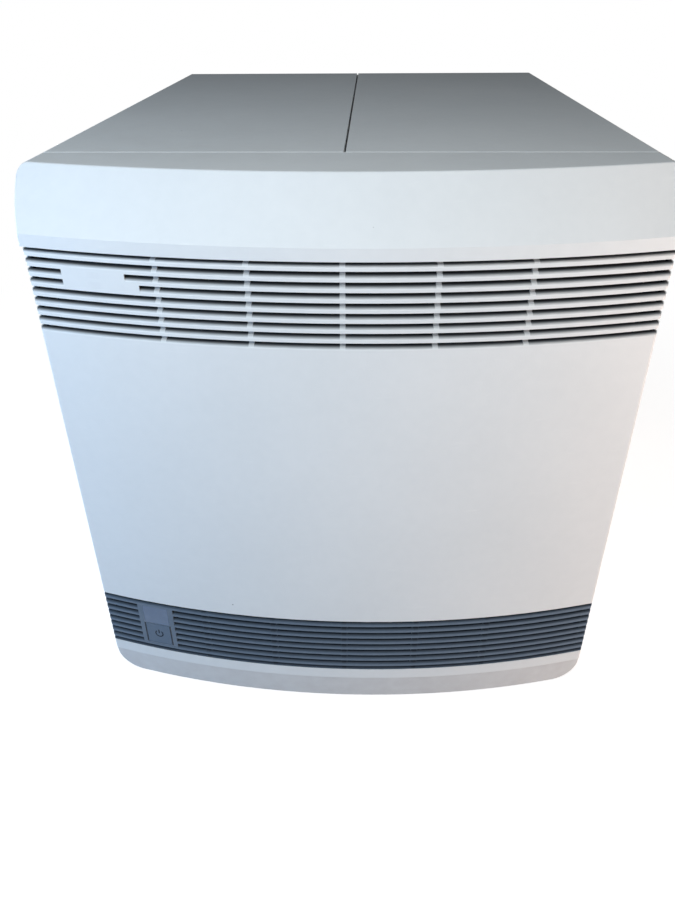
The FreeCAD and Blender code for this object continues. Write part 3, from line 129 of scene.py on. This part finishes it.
# A material of one principled shader with textures in object coordinates
class Shader(Tree):
    def __init__(self, name):
        self.material = bpy.data.materials.new(name)
        self.material.use_nodes = True
        super().__init__(self.material.node_tree)
        out = self.add("ShaderNodeOutputMaterial")
        self.bsdf = self.add("ShaderNodeBsdfPrincipled")
        self.link(self.bsdf.outputs[0], out.inputs[0])
        self.place = self.add("ShaderNodeTexCoord").outputs["Object"]

    def parts(self):
        node = self.add("ShaderNodeSeparateXYZ")
        self.link(self.place, node.inputs[0])
        return node.outputs

    def stretched(self, stretch):
        if stretch == (1, 1, 1):
            return self.place
        mapping = self.add("ShaderNodeMapping")
        mapping.inputs["Scale"].default_value = stretch
        self.link(self.place, mapping.inputs["Vector"])
        return mapping.outputs[0]

    def noise(self, scale, detail, stretch=(1, 1, 1)):
        node = self.add("ShaderNodeTexNoise")
        node.inputs["Scale"].default_value = scale
        node.inputs["Detail"].default_value = detail
        self.link(self.stretched(stretch), node.inputs["Vector"])
        return node.outputs["Fac"]

    # Soft patches of noise between two values
    def patches(self, scale, detail, to_low=0.0, to_high=1.0):
        return self.ramp(self.noise(scale, detail), noise_low, noise_high, to_low, to_high)

    def cells(self, scale):
        node = self.add("ShaderNodeTexVoronoi")
        node.inputs["Scale"].default_value = scale
        self.link(self.place, node.inputs["Vector"])
        return node.outputs["Distance"]

    def soft_cells(self, scale, smoothness):
        node = self.add("ShaderNodeTexVoronoi", feature="SMOOTH_F1")
        node.inputs["Scale"].default_value = scale
        node.inputs["Smoothness"].default_value = smoothness
        self.link(self.place, node.inputs["Vector"])
        return node.outputs["Distance"]

    def bump(self, height, strength, distance, under=None):
        node = self.add("ShaderNodeBump")
        node.inputs["Strength"].default_value = strength
        node.inputs["Distance"].default_value = distance
        self.link(height, node.inputs["Height"])
        if under is not None:
            self.link(under, node.inputs["Normal"])
        return node.outputs[0]

    # 1 between two values and 0 outside them, with soft edges
    def inside(self, value, low, high, soft=0.0002):
        return self.times(self.ramp(value, low - soft, low + soft), self.ramp(value, high - soft, high + soft, 1, 0))

    # Painted shade deep in the slots of the front: 0 on the face, 1 at the given depth behind it
    def slot_shade(self, top, pitch, count, opening, depth, at_ribs):
        x, y, z = self.parts()
        back = self.minus(arc_axis_y, y)
        reach = self.maths("SQRT", self.plus(self.times(x, x), self.times(back, back)))
        inset = self.minus(arc_radius, reach)
        near = 0.3 * depth
        deep = self.plus(self.ramp(inset, 0.00005, near, 0, 0.66), self.ramp(inset, near, depth, 0, 0.34))
        in_room = self.inside(inset, -0.001, slot_room)
        in_rows = self.inside(z, top - pitch * (count - 1) - opening, top)
        phase = self.maths("FRACT", self.maths("DIVIDE", self.minus(top, z), pitch))
        in_slot = self.ramp(phase, (opening - 0.0003) / pitch, opening / pitch, 1, 0)
        in_width = self.ramp(self.size_of(x), slot_end_x, slot_end_x + 0.0007, 1, 0)
        angle = self.maths("ARCTAN2", x, back)
        beat = self.maths("FRACT", self.plus(self.maths("DIVIDE", angle, rib_pitch), 0.5))
        from_rib = self.size_of(self.minus(beat, 0.5))
        rib_factor = self.ramp(from_rib, rib_half_share, rib_half_share + 0.003, at_ribs, 1)
        past_ribs = self.ramp(self.size_of(angle), past_last_rib, past_last_rib + 0.001)
        rib_factor = self.plus(self.times(rib_factor, self.minus(1, past_ribs)), past_ribs)
        return self.times(deep, in_room, in_rows, in_slot, in_width, rib_factor)

    def finish(self, colour, rough, normal, **fixed):
        self.link(colour, self.bsdf.inputs["Base Color"])
        self.link(rough, self.bsdf.inputs["Roughness"])
        self.link(normal, self.bsdf.inputs["Normal"])
        for key, value in fixed.items():
            self.bsdf.inputs[key.replace("_", " ")].default_value = value
        return self.material


# Textured paint of the covers: fine grain, faint mottling, a few specks and rubbed spots, a painted highlight along
# the seam, painted shade in the louvre, and painted shade on the front of the skirt, mottled like scuffs
def cover_paint():
    dark_paint, light_paint = (0.735, 0.752, 0.76), (0.79, 0.803, 0.808)
    speck_grey, rubbed, seam_highlight = (0.25, 0.26, 0.27), (0.83, 0.84, 0.84), (0.96, 0.97, 0.97)
    painted_slot_shade, skirt_shade = (0.03, 0.034, 0.04), (0.60, 0.585, 0.59)
    rim_front, rim_back, rim_foot, rim_top = seam_y - 0.0012, seam_y + 0.0022, 0.6355, 0.637
    skirt_top, front_only = 0.0455, -0.34
    s = Shader("cover_paint_finish")
    y, z = s.parts()[1:3]
    tone = s.plus(s.patches(5, 3, 0, 0.7), s.patches(90, 4, 0, 0.3))
    colour = s.blend(tone, dark_paint, light_paint)
    speck = s.ramp(s.cells(34), 0.02, 0.035, 1, 0)
    few = s.ramp(s.noise(19, 0), 0.66, 0.68)
    colour = s.blend(s.times(speck, few), colour, speck_grey)
    rub = s.ramp(s.noise(26, 3, (1, 1, 5)), 0.68, 0.8, 0, 0.4)
    colour = s.blend(rub, colour, rubbed)
    # Painted highlight: a lighter band along the seam, where the cover's edge catches the light
    rim = s.times(s.inside(y, rim_front, rim_back), s.ramp(z, rim_foot, rim_top))
    colour = s.blend(s.times(rim, 0.85), colour, seam_highlight)
    # Painted shade deep in the louvre's slots
    colour = s.blend(s.times(s.slot_shade(**louvre_slots), 0.96), colour, painted_slot_shade)
    # Painted shade: the front of the skirt below the fold made darker in mottled patches
    skirt = s.times(s.ramp(z, skirt_top - 0.002, skirt_top, 1, 0), s.ramp(y, front_only, front_only + 0.01, 1, 0))
    colour = s.blend(s.times(skirt, s.patches(60, 4, 0.35, 0.65)), colour, skirt_shade)
    rough = s.patches(40, 3, 0.42, 0.56)
    leather = s.ramp(s.soft_cells(720, 0.6), 0, 0.7, 0, 0.7)
    wave = s.bump(s.noise(14, 1), 0.12, 0.0012)
    normal = s.bump(s.plus(leather, s.patches(1900, 2, 0, 0.3)), 0.35, 0.00012, wave)
    return s.finish(colour, rough, normal, Specular_IOR_Level=0.4)


# Moulded plastic or even paint: mottling and dust over two tones, with a fine grain of the given scale and depth, and
# painted shade deep in the slots where they are given
def grained_plastic(name, low, high, rough, grain=1400, depth=0.00006, level=0.4, slots=None):
    painted_slot_shade = (0.008, 0.013, 0.02)
    s = Shader(name)
    tone = s.plus(s.patches(9, 3, 0, 0.6), s.patches(220, 3, 0, 0.4))
    colour = s.blend(tone, low, high)
    dust = s.ramp(s.noise(600, 4), 0.62, 0.8, 0, 0.18)
    colour = s.blend(dust, colour, tuple(0.5 * c + 0.2 for c in high))
    # Painted shade deep in the slots
    if slots:
        colour = s.blend(s.times(s.slot_shade(**slots), 0.85), colour, painted_slot_shade)
    roughness = s.patches(70, 3, rough - 0.05, rough + 0.07)
    normal = s.bump(s.noise(grain, 2), 0.3, depth)
    return s.finish(colour, roughness, normal, Specular_IOR_Level=level)


# Smoked window with faint painted spots of light behind it
def smoked_window():
    dark_smoke, light_smoke, lit = (0.052, 0.108, 0.2), (0.07, 0.135, 0.235), (0.14, 0.21, 0.3)
    s = Shader("window_finish")
    colour = s.blend(s.patches(30, 2), dark_smoke, light_smoke)
    # Painted light: lighter spots in the window's colour
    spots = s.ramp(s.cells(55), 0.05, 0.3, 0.25, 0)
    colour = s.blend(spots, colour, lit)
    rough = s.ramp(s.noise(90, 4), 0.35, 0.75, 0.1, 0.2)
    normal = s.bump(s.noise(60, 1), 0.05, 0.0004)
    return s.finish(colour, rough, normal, Coat_Weight=0.2, Coat_Roughness=0.08)


# Metal with brush lines along a stretch, smudges, and the spangle of zinc where its scale is given
def metal(name, low, high, rough, scale, stretch=(1, 1, 1), spangle=0):
    s = Shader(name)
    lines = s.noise(scale, 3, stretch)
    tone = s.ramp(lines, noise_low, noise_high)
    if spangle:
        tone = s.plus(s.times(tone, 0.4), s.times(s.ramp(s.cells(spangle), 0, 0.8), 0.6))
    colour = s.blend(tone, low, high)
    smears = s.noise(22, 3)
    colour = s.blend(s.ramp(smears, 0.55, 0.8, 0, 0.3), colour, tuple(0.8 * c for c in low))
    roughness = s.plus(s.ramp(lines, noise_low, noise_high, rough - 0.06, rough + 0.06),
                       s.ramp(smears, 0.55, 0.8, 0, 0.12))
    normal = s.bump(lines, 0.12, 0.00003)
    return s.finish(colour, roughness, normal, Metallic=1.0)


# Green board with tracks both ways and soldered pads
def circuit_board():
    board_green, track_green, solder = (0.012, 0.075, 0.035), (0.03, 0.16, 0.07), (0.55, 0.53, 0.46)
    s = Shader("board_finish")
    across = s.ramp(s.noise(500, 0, (1, 0.05, 1)), 0.53, 0.55)
    along = s.ramp(s.noise(430, 0, (0.05, 1, 1)), 0.54, 0.56)
    track = s.maths("MAXIMUM", across, along)
    colour = s.blend(s.times(track, 0.6), board_green, track_green)
    pad = s.ramp(s.cells(210), 0.12, 0.16, 1, 0)
    colour = s.blend(s.times(pad, 0.8), colour, solder)
    rough = s.ramp(pad, 0, 1, 0.42, 0.3)
    normal = s.bump(track, 0.3, 0.00005)
    return s.finish(colour, rough, normal, Specular_IOR_Level=0.5)


# Plug shells with a dark insert and two rows of contacts, on the ports at the rear
def port_metal():
    middle_x, port_pitch, port_z, insert_face_y = 0.02, 0.05, 0.06, 0.4192
    half_width, half_height, contact_pitch = 0.0108, 0.0037, 0.00276
    row_low, row_high = 0.0009, 0.0018
    dark_shell, light_shell = (0.48, 0.48, 0.48), (0.62, 0.62, 0.61)
    insert_black, gilt = (0.018, 0.018, 0.02), (0.72, 0.56, 0.3)
    s = Shader("port_finish")
    x, y, z = s.parts()
    beat = s.maths("FRACT", s.plus(s.maths("DIVIDE", s.minus(x, middle_x), port_pitch), 0.5))
    across = s.times(s.minus(beat, 0.5), port_pitch)
    rise = s.size_of(s.minus(z, port_z))
    insert = s.times(s.ramp(s.size_of(across), half_width, half_width + 0.0002, 1, 0),
                     s.ramp(rise, half_height, half_height + 0.0002, 1, 0),
                     s.ramp(y, insert_face_y, insert_face_y + 0.0003))
    row = s.inside(rise, row_low, row_high, 0.00005)
    tooth = s.maths("FRACT", s.maths("DIVIDE", across, contact_pitch))
    contact = s.times(row, s.inside(tooth, 0.3, 0.65, 0.02))
    lines = s.noise(500, 3)
    colour = s.blend(s.ramp(lines, noise_low, noise_high), dark_shell, light_shell)
    colour = s.blend(insert, colour, insert_black)
    colour = s.blend(s.times(insert, contact), colour, gilt)
    s.link(s.minus(1, s.times(insert, s.minus(1, contact))), s.bsdf.inputs["Metallic"])
    rough = s.patches(60, 3, 0.28, 0.4)
    return s.finish(colour, rough, s.bump(lines, 0.1, 0.00003))


# Coated lens, nearly black from outside
def dark_lens():
    dark_glass, light_glass = (0.015, 0.015, 0.022), (0.035, 0.03, 0.05)
    s = Shader("lens_finish")
    colour = s.blend(s.patches(60, 2), dark_glass, light_glass)
    rough = s.ramp(s.noise(300, 3), 0.4, 0.8, 0.04, 0.14)
    normal = s.bump(s.noise(200, 1), 0.05, 0.0001)
    return s.finish(colour, rough, normal, Coat_Weight=0.7, Coat_Roughness=0.03)


# Open-cell foam of an air filter
def foam(name, low, high):
    s = Shader(name)
    pores = s.cells(420)
    fluff = s.noise(160, 4)
    tone = s.times(s.ramp(pores, 0.1, 0.6), s.ramp(fluff, noise_low, noise_high, 0.4, 1))
    colour = s.blend(tone, low, high)
    rough = s.ramp(fluff, noise_low, noise_high, 0.85, 0.98)
    normal = s.bump(pores, 0.8, 0.0009)
    return s.finish(colour, rough, normal, Specular_IOR_Level=0.2)


finishes = {
    "cover_paint": cover_paint(),
    "grille_plastic": grained_plastic("grille_finish", (0.09, 0.128, 0.178), (0.118, 0.16, 0.215), 0.5,
                                      slots=grille_slots),
    "key_plastic": grained_plastic("key_finish", (0.064, 0.104, 0.162), (0.08, 0.126, 0.187), 0.46,
                                   grain=1900, depth=0.00004),
    "window": smoked_window(),
    "black_plastic": grained_plastic("black_finish", (0.012, 0.012, 0.013), (0.024, 0.024, 0.025), 0.52),
    "board": circuit_board(),
    "plated_steel": metal("plated_finish", (0.45, 0.455, 0.46), (0.64, 0.64, 0.62), 0.36, 260, spangle=130),
    "bright_steel": metal("bright_finish", (0.5, 0.5, 0.5), (0.68, 0.68, 0.67), 0.24, 700, (1, 1, 14)),
    "aluminium": metal("aluminium_finish", (0.6, 0.61, 0.62), (0.76, 0.77, 0.78), 0.34, 700, (1, 12, 1)),
    "black_anodised": grained_plastic("anodised_finish", (0.018, 0.018, 0.02), (0.034, 0.034, 0.038), 0.36,
                                      grain=2400, depth=0.00003, level=0.6),
    "white_ceramic": grained_plastic("ceramic_finish", (0.72, 0.72, 0.7), (0.82, 0.82, 0.8), 0.3,
                                     grain=1700, depth=0.00002, level=0.5),
    "lens_glass": dark_lens(),
    "laser_case": grained_plastic("laser_case_finish", (0.2, 0.215, 0.23), (0.27, 0.285, 0.3), 0.42,
                                  grain=1100, depth=0.00007),
}

for name, node in nodes.items():
    for holder in node.material_slots:
        key = holder.material.name.split(".")[0]
        if key in finishes:
            holder.material = finishes[key]
        else:
            print("no finish for", name, key)

port_finish = port_metal()
for holder in nodes["data_ports"].material_slots:
    holder.material = port_finish


def add_mesh(name, verts, faces, material):
    mesh = bpy.data.meshes.new(name)
    mesh.from_pydata(verts, [], faces)
    fixed = bmesh.new()
    fixed.from_mesh(mesh)
    bmesh.ops.recalc_face_normals(fixed, faces=fixed.faces)
    fixed.to_mesh(mesh)
    fixed.free()
    mesh.materials.append(material)
    thing = bpy.data.objects.new(name, mesh)
    bpy.context.scene.collection.objects.link(thing)
    return thing


def smooth(thing, crease_degrees=40):
    for face in thing.data.polygons:
        face.use_smooth = True
    thing.data.set_sharp_from_angle(angle=math.radians(crease_degrees))


# A point at an angle along the front, at an inset behind its face
def on_front(angle, inset, z):
    reach = arc_radius - inset
    return (reach * math.sin(angle), arc_axis_y - reach * math.cos(angle), z)


# A closed band through pairs of points, each an angle and a height on the front, between two insets
def band_on_front(verts, faces, pairs, near, far):
    first = len(verts)
    for low, high in pairs:
        for inset in (near, far):
            verts.append(on_front(low[0], inset, low[1]))
            verts.append(on_front(high[0], inset, high[1]))
    last = first + 4 * (len(pairs) - 1)
    for a in range(first, last, 4):
        b = a + 4
        faces.extend([(a, b, b + 1, a + 1), (a + 2, a + 3, b + 3, b + 2), (a, a + 2, b + 2, b),
                      (a + 1, b + 1, b + 3, a + 3)])
    for a in (first, last):
        faces.append((a, a + 1, a + 3, a + 2))


# Standby sign printed on the button: an open ring and a bar
def standby_sign():
    key_x, sign_z = -0.2328, 0.0885
    ring_radii, ring_steps, ring_gap_degrees = (0.0041, 0.0056), 40, 76
    bar_half_width, bar_foot, bar_top = 0.0008, 0.0004, 0.0066
    face, root = -0.00006, 0.0003
    centre = math.asin(key_x / arc_radius)
    verts, faces = [], []
    ring = []
    for i in range(ring_steps + 1):
        turn = math.radians(90 + ring_gap_degrees / 2 + (360 - ring_gap_degrees) * i / ring_steps)
        ring.append([(centre + radius * math.cos(turn) / arc_radius, sign_z + radius * math.sin(turn))
                     for radius in ring_radii])
    band_on_front(verts, faces, ring, face, root)
    half = bar_half_width / arc_radius
    bar = [((angle, sign_z + bar_foot), (angle, sign_z + bar_top)) for angle in (centre - half, centre + half)]
    band_on_front(verts, faces, bar, face, root)
    ink = grained_plastic("sign_finish", (0.004, 0.007, 0.013), (0.007, 0.012, 0.02), 0.6,
                          grain=1900, depth=0.00002, level=0.15)
    sign = add_mesh("standby_sign", verts, faces, ink)
    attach(sign, "power_key")


# Filter mats in the room behind the slats of the lower grille, between its webs and beside the button plate, near
# black as a dark sheet that stands in for the shade there
def filter_shade_mats():
    web_pitch, from_web, mat_end = 0.0855, 0.0041, 0.2926
    plate_left, plate_right = -0.2576, -0.2092
    mat_foot, mat_top, mat_face, mat_back = 0.0628, 0.1388, 0.0072, 0.0108
    step_length, least_steps = 0.01, 3
    webs = [web_pitch * i for i in (-2, -1, 0, 1, 2)]
    starts = [-mat_end, plate_right] + [x + from_web for x in webs]
    ends = [plate_left] + [x - from_web for x in webs] + [mat_end]
    verts, faces = [], []
    for x0, x1 in zip(starts, ends):
        a0, a1 = math.asin(x0 / arc_radius), math.asin(x1 / arc_radius)
        steps = max(least_steps, int((x1 - x0) / step_length))
        angles = [a0 + (a1 - a0) * i / steps for i in range(steps + 1)]
        band_on_front(verts, faces, [((a, mat_foot), (a, mat_top)) for a in angles], mat_face, mat_back)
    # Near-black foam: a dark sheet for the shade behind the slats
    mats = add_mesh("filter_shade_mats", verts, faces, foam("filter_shade_finish", (0.006, 0.009, 0.013), (0.018, 0.024, 0.032)))
    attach(mats, "cabinet")


# Dark strips beside the button: painted shade that stands in for the shadow in the gaps beside it
def key_shadow_strips():
    key_x, strip_inner, strip_outer = -0.23325, 0.01652, 0.01770
    strip_foot, strip_top, strip_face, strip_root = 0.0716, 0.1044, -0.00008, 0.0006
    centre = math.asin(key_x / arc_radius)
    verts, faces = [], []
    for side in (-1, 1):
        angles = sorted(centre + side * edge / arc_radius for edge in (strip_inner, strip_outer))
        band_on_front(verts, faces, [((a, strip_foot), (a, strip_top)) for a in angles], strip_face, strip_root)
    # Near-black strips: painted shade for the gaps beside the key
    shadow_dark = grained_plastic("key_shadow_finish", (0.006, 0.009, 0.014), (0.012, 0.017, 0.024), 0.6,
                             grain=1600, depth=0.00002)
    shadow_strips = add_mesh("key_shadow_strips", verts, faces, shadow_dark)
    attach(shadow_strips, "cabinet")


# Rings of vertices about a centre, the faces between two of them, and the cap of one
def add_ring(verts, centre, across, lift, radius, sides):
    for k in range(sides):
        turn = 2 * math.pi * k / sides
        verts.append(tuple(centre + across * (radius * math.cos(turn)) + lift * (radius * math.sin(turn))))


def join_rings(faces, a, b, sides):
    for k in range(sides):
        m = (k + 1) % sides
        faces.append((a + k, a + m, b + m, b + k))


def cap_ring(faces, a, sides):
    faces.append(tuple(range(a, a + sides)))


# A round wire along a list of points that lie in a plane across the depth
def wire(verts, faces, points, radius, closed=False, sides=8):
    depth = Vector((0, 1, 0))
    first = len(verts)
    count = len(points)
    for i, point in enumerate(points):
        before = points[i - 1] if closed or i > 0 else point
        after = points[(i + 1) % count] if closed or i < count - 1 else point
        along = (Vector(after) - Vector(before)).normalized()
        across = along.cross(depth).normalized()
        add_ring(verts, Vector(point), across, along.cross(across), radius, sides)
    for i in range(count if closed else count - 1):
        join_rings(faces, first + sides * i, first + sides * ((i + 1) % count), sides)
    if not closed:
        cap_ring(faces, first, sides)
        cap_ring(faces, first + sides * (count - 1), sides)


# A turned shape about an axis through centre. The profile is (radius, height) from the foot to the crown.
def lathe(verts, faces, centre, axis, profile, sides=24):
    first = len(verts)
    axis = Vector(axis)
    across = axis.orthogonal().normalized()
    for radius, rise in profile:
        add_ring(verts, Vector(centre) + axis * rise, across, axis.cross(across), radius, sides)
    last = first + sides * (len(profile) - 1)
    for a in range(first, last, sides):
        join_rings(faces, a, a + sides, sides)
    cap_ring(faces, first, sides)
    cap_ring(faces, last, sides)


# Screw head with a round recess
def screw_profile(radius, rise):
    return [(radius, 0), (radius, 0.35 * rise), (0.93 * radius, 0.75 * rise), (0.72 * radius, rise),
            (0.42 * radius, rise), (0.36 * radius, 0.45 * rise)]


def circle(x, y, z, radius, count):
    turns = [2 * math.pi * i / count for i in range(count)]
    return [(x + radius * math.cos(turn), y, z + radius * math.sin(turn)) for turn in turns]


# Wire guards over the two exhaust fans, just outside the rear panel: rings, spokes behind them, an eye at the end of
# each spoke and a screw through it
def fan_guards():
    ring_y, spoke_y, panel_y = 0.4178, 0.4178 - 0.0009, 0.416
    gauge = 0.0008
    ring_radii = (0.013, 0.0235, 0.034, 0.0445, 0.055)
    spoke_reaches = (0.013, 0.03, 0.045, 0.062, 0.0715)
    eye_reach, eye_radius = 0.0742, 0.0034
    head_radius, head_rise = 0.0028, 0.0034
    corners = [math.radians(45 + 90 * i) for i in range(4)]
    steel = finishes["bright_steel"]
    for name, x, z in (("upper_fan_guard", -0.180, 0.470), ("lower_fan_guard", 0.200, 0.140)):
        verts, faces = [], []
        for radius in ring_radii:
            wire(verts, faces, circle(x, ring_y, z, radius, 48), gauge, closed=True)
        for turn in corners:
            c, n = math.cos(turn), math.sin(turn)
            wire(verts, faces, [(x + r * c, spoke_y, z + r * n) for r in spoke_reaches], gauge)
            eye = circle(x + eye_reach * c, spoke_y, z + eye_reach * n, eye_radius, 20)
            wire(verts, faces, eye, gauge, closed=True)
        guard = add_mesh(name, verts, faces, steel)
        smooth(guard)
        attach(guard, "cabinet")
        verts, faces = [], []
        for turn in corners:
            place = (x + eye_reach * math.cos(turn), panel_y, z + eye_reach * math.sin(turn))
            lathe(verts, faces, place, (0, 1, 0), screw_profile(head_radius, head_rise))
        screws = add_mesh(name + "_screws", verts, faces, steel)
        smooth(screws)
        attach(screws, "cabinet")


# Low screws in the corners of the service cover
def service_screws():
    side_x, head_radius, head_rise = 0.3, 0.0034, 0.0011
    verts, faces = [], []
    for y in (-0.1394, 0.0794):
        for z in (0.060, 0.255):
            lathe(verts, faces, (side_x, y, z), (1, 0, 0), screw_profile(head_radius, head_rise))
    screws = add_mesh("service_screws", verts, faces, finishes["bright_steel"])
    smooth(screws)
    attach(screws, "cabinet")


# Camera at the photograph's viewpoint
def add_camera():
    place = (0.02338, -1.0448, 0.78099)
    yaw, pitch, roll = math.radians(-2.64), math.radians(32.42), math.radians(-0.54)
    focal_pixels, picture_pixels, sensor = 741.92, 900, 36
    forward = Vector((math.sin(yaw) * math.cos(pitch), math.cos(yaw) * math.cos(pitch), -math.sin(pitch)))
    right = Vector((math.cos(yaw), -math.sin(yaw), 0))
    up = right.cross(forward)
    right_rolled = right * math.cos(roll) + up * math.sin(roll)
    up_rolled = up * math.cos(roll) - right * math.sin(roll)
    data = bpy.data.cameras.new("camera")
    data.sensor_fit = "AUTO"
    data.sensor_width = sensor
    data.lens = focal_pixels / picture_pixels * sensor
    data.clip_start = 0.05
    data.clip_end = 200
    camera = bpy.data.objects.new("camera", data)
    bpy.context.scene.collection.objects.link(camera)
    turn = Matrix((right_rolled, up_rolled, -forward)).transposed()
    camera.matrix_world = Matrix.Translation(place) @ turn.to_4x4()
    bpy.context.scene.camera = camera


# Floor: soft shadow near the object, running out into plain white with distance from it. Light that bounces off it
# meets a plain grey.
def floor_material():
    shadow_reach, white_reach = 0.5, 1.5
    near_glow, far_glow = 0.8, 1.0
    near_tone, far_tone, bounce_grey = (0.45, 0.455, 0.46), (0, 0, 0), (0.28, 0.28, 0.28)
    material = bpy.data.materials.new("floor_finish")
    material.use_nodes = True
    s = Tree(material.node_tree)
    rays = s.add("ShaderNodeLightPath").outputs
    seen = s.maths("MAXIMUM", rays["Is Camera Ray"], rays["Is Glossy Ray"])
    seen = s.maths("MAXIMUM", seen, rays["Is Transmission Ray"])
    reach = s.add("ShaderNodeVectorMath", operation="LENGTH")
    s.link(s.add("ShaderNodeTexCoord").outputs["Object"], reach.inputs[0])
    far = s.ramp(reach.outputs["Value"], shadow_reach, white_reach, interpolation_type="SMOOTHSTEP")
    lit = s.plain_shader("ShaderNodeBsdfDiffuse", s.blend(far, near_tone, far_tone))
    glow = s.plain_shader("ShaderNodeEmission", strength=s.ramp(far, 0, 1, near_glow, far_glow))
    both = s.add("ShaderNodeAddShader")
    s.link(lit, both.inputs[0])
    s.link(glow, both.inputs[1])
    bounce = s.plain_shader("ShaderNodeBsdfDiffuse", bounce_grey)
    out = s.add("ShaderNodeOutputMaterial")
    s.link(s.mix_shaders(seen, bounce, both.outputs[0]), out.inputs[0])
    return material


def add_floor():
    mesh = bpy.data.meshes.new("floor")
    grid = bmesh.new()
    bmesh.ops.create_circle(grid, cap_ends=True, segments=96, radius=14)
    grid.to_mesh(mesh)
    grid.free()
    thing = bpy.data.objects.new("floor", mesh)
    thing.location = (0, 0, -0.0004)
    bpy.context.scene.collection.objects.link(thing)
    mesh.materials.append(floor_material())


# World: plain white to the camera, dimmer in reflections, and a faint sky as light
def add_world():
    world = bpy.data.worlds.new("world")
    bpy.context.scene.world = world
    world.use_nodes = True
    s = Tree(world.node_tree)
    rays = s.add("ShaderNodeLightPath").outputs
    seen = s.maths("MAXIMUM", rays["Is Camera Ray"], rays["Is Transmission Ray"])
    sky = s.plain_shader("ShaderNodeBackground", (0.97, 0.98, 1.0), 0.035)
    gloss = s.plain_shader("ShaderNodeBackground", (1.0, 0.97, 0.95), 0.2)
    white = s.plain_shader("ShaderNodeBackground", (1.0, 1.0, 1.0), 1.0)
    unseen = s.mix_shaders(rays["Is Glossy Ray"], sky, gloss)
    out = s.add("ShaderNodeOutputWorld")
    s.link(s.mix_shaders(seen, unseen, white), out.inputs[0])


def lamp(name, place, aim, size, power, colour):
    data = bpy.data.lights.new(name, "AREA")
    data.shape = "RECTANGLE"
    data.size, data.size_y = size
    data.energy = power
    data.color = colour
    thing = bpy.data.objects.new(name, data)
    thing.location = place
    direction = Vector(aim) - Vector(place)
    thing.rotation_euler = direction.to_track_quat("-Z", "Y").to_euler()
    bpy.context.scene.collection.objects.link(thing)


standby_sign()
filter_shade_mats()
key_shadow_strips()
fan_guards()
service_screws()
add_camera()
add_floor()
add_world()

# Soft lamps: cool ones at the left, a warm one above the front and one low at the right, and low ones at the left and
# behind, under the level of the top. Each has its place, aim, size, power in watts and colour.
lamp("left_front", (-0.95, -1.4, 1.35), (-0.05, -0.35, 0.35), (1.0, 0.8), 15.6, (0.70, 0.88, 1.0))
lamp("left_side", (-1.6, -1.0, 0.7), (-0.1, -0.35, 0.35), (0.8, 1.0), 10.5, (0.24, 0.5, 1.0))
lamp("above_front", (0, -1.15, 1.22), (0, -0.35, 0.4), (1.3, 0.4), 6.2, (1.0, 0.965, 0.9))
lamp("right_low", (1.9, -0.8, 0.3), (0.2, -0.3, 0.3), (1.1, 0.6), 30.0, (1.0, 0.83, 0.75))
lamp("left_low", (-1.9, 0.35, 0.3), (-0.25, 0.1, 0.3), (0.9, 0.44), 12.0, (0.94, 0.97, 1.0))
lamp("rear_left", (-1.0, 2.0, 0.3), (-0.1, 0.4, 0.3), (0.9, 0.44), 12.0, (0.95, 0.97, 1.0))
lamp("rear_right", (1.2, 1.9, 0.3), (0.1, 0.4, 0.3), (0.9, 0.44), 9.0, (1.0, 0.98, 0.95))

bpy.context.scene.view_settings.view_transform = "Standard"
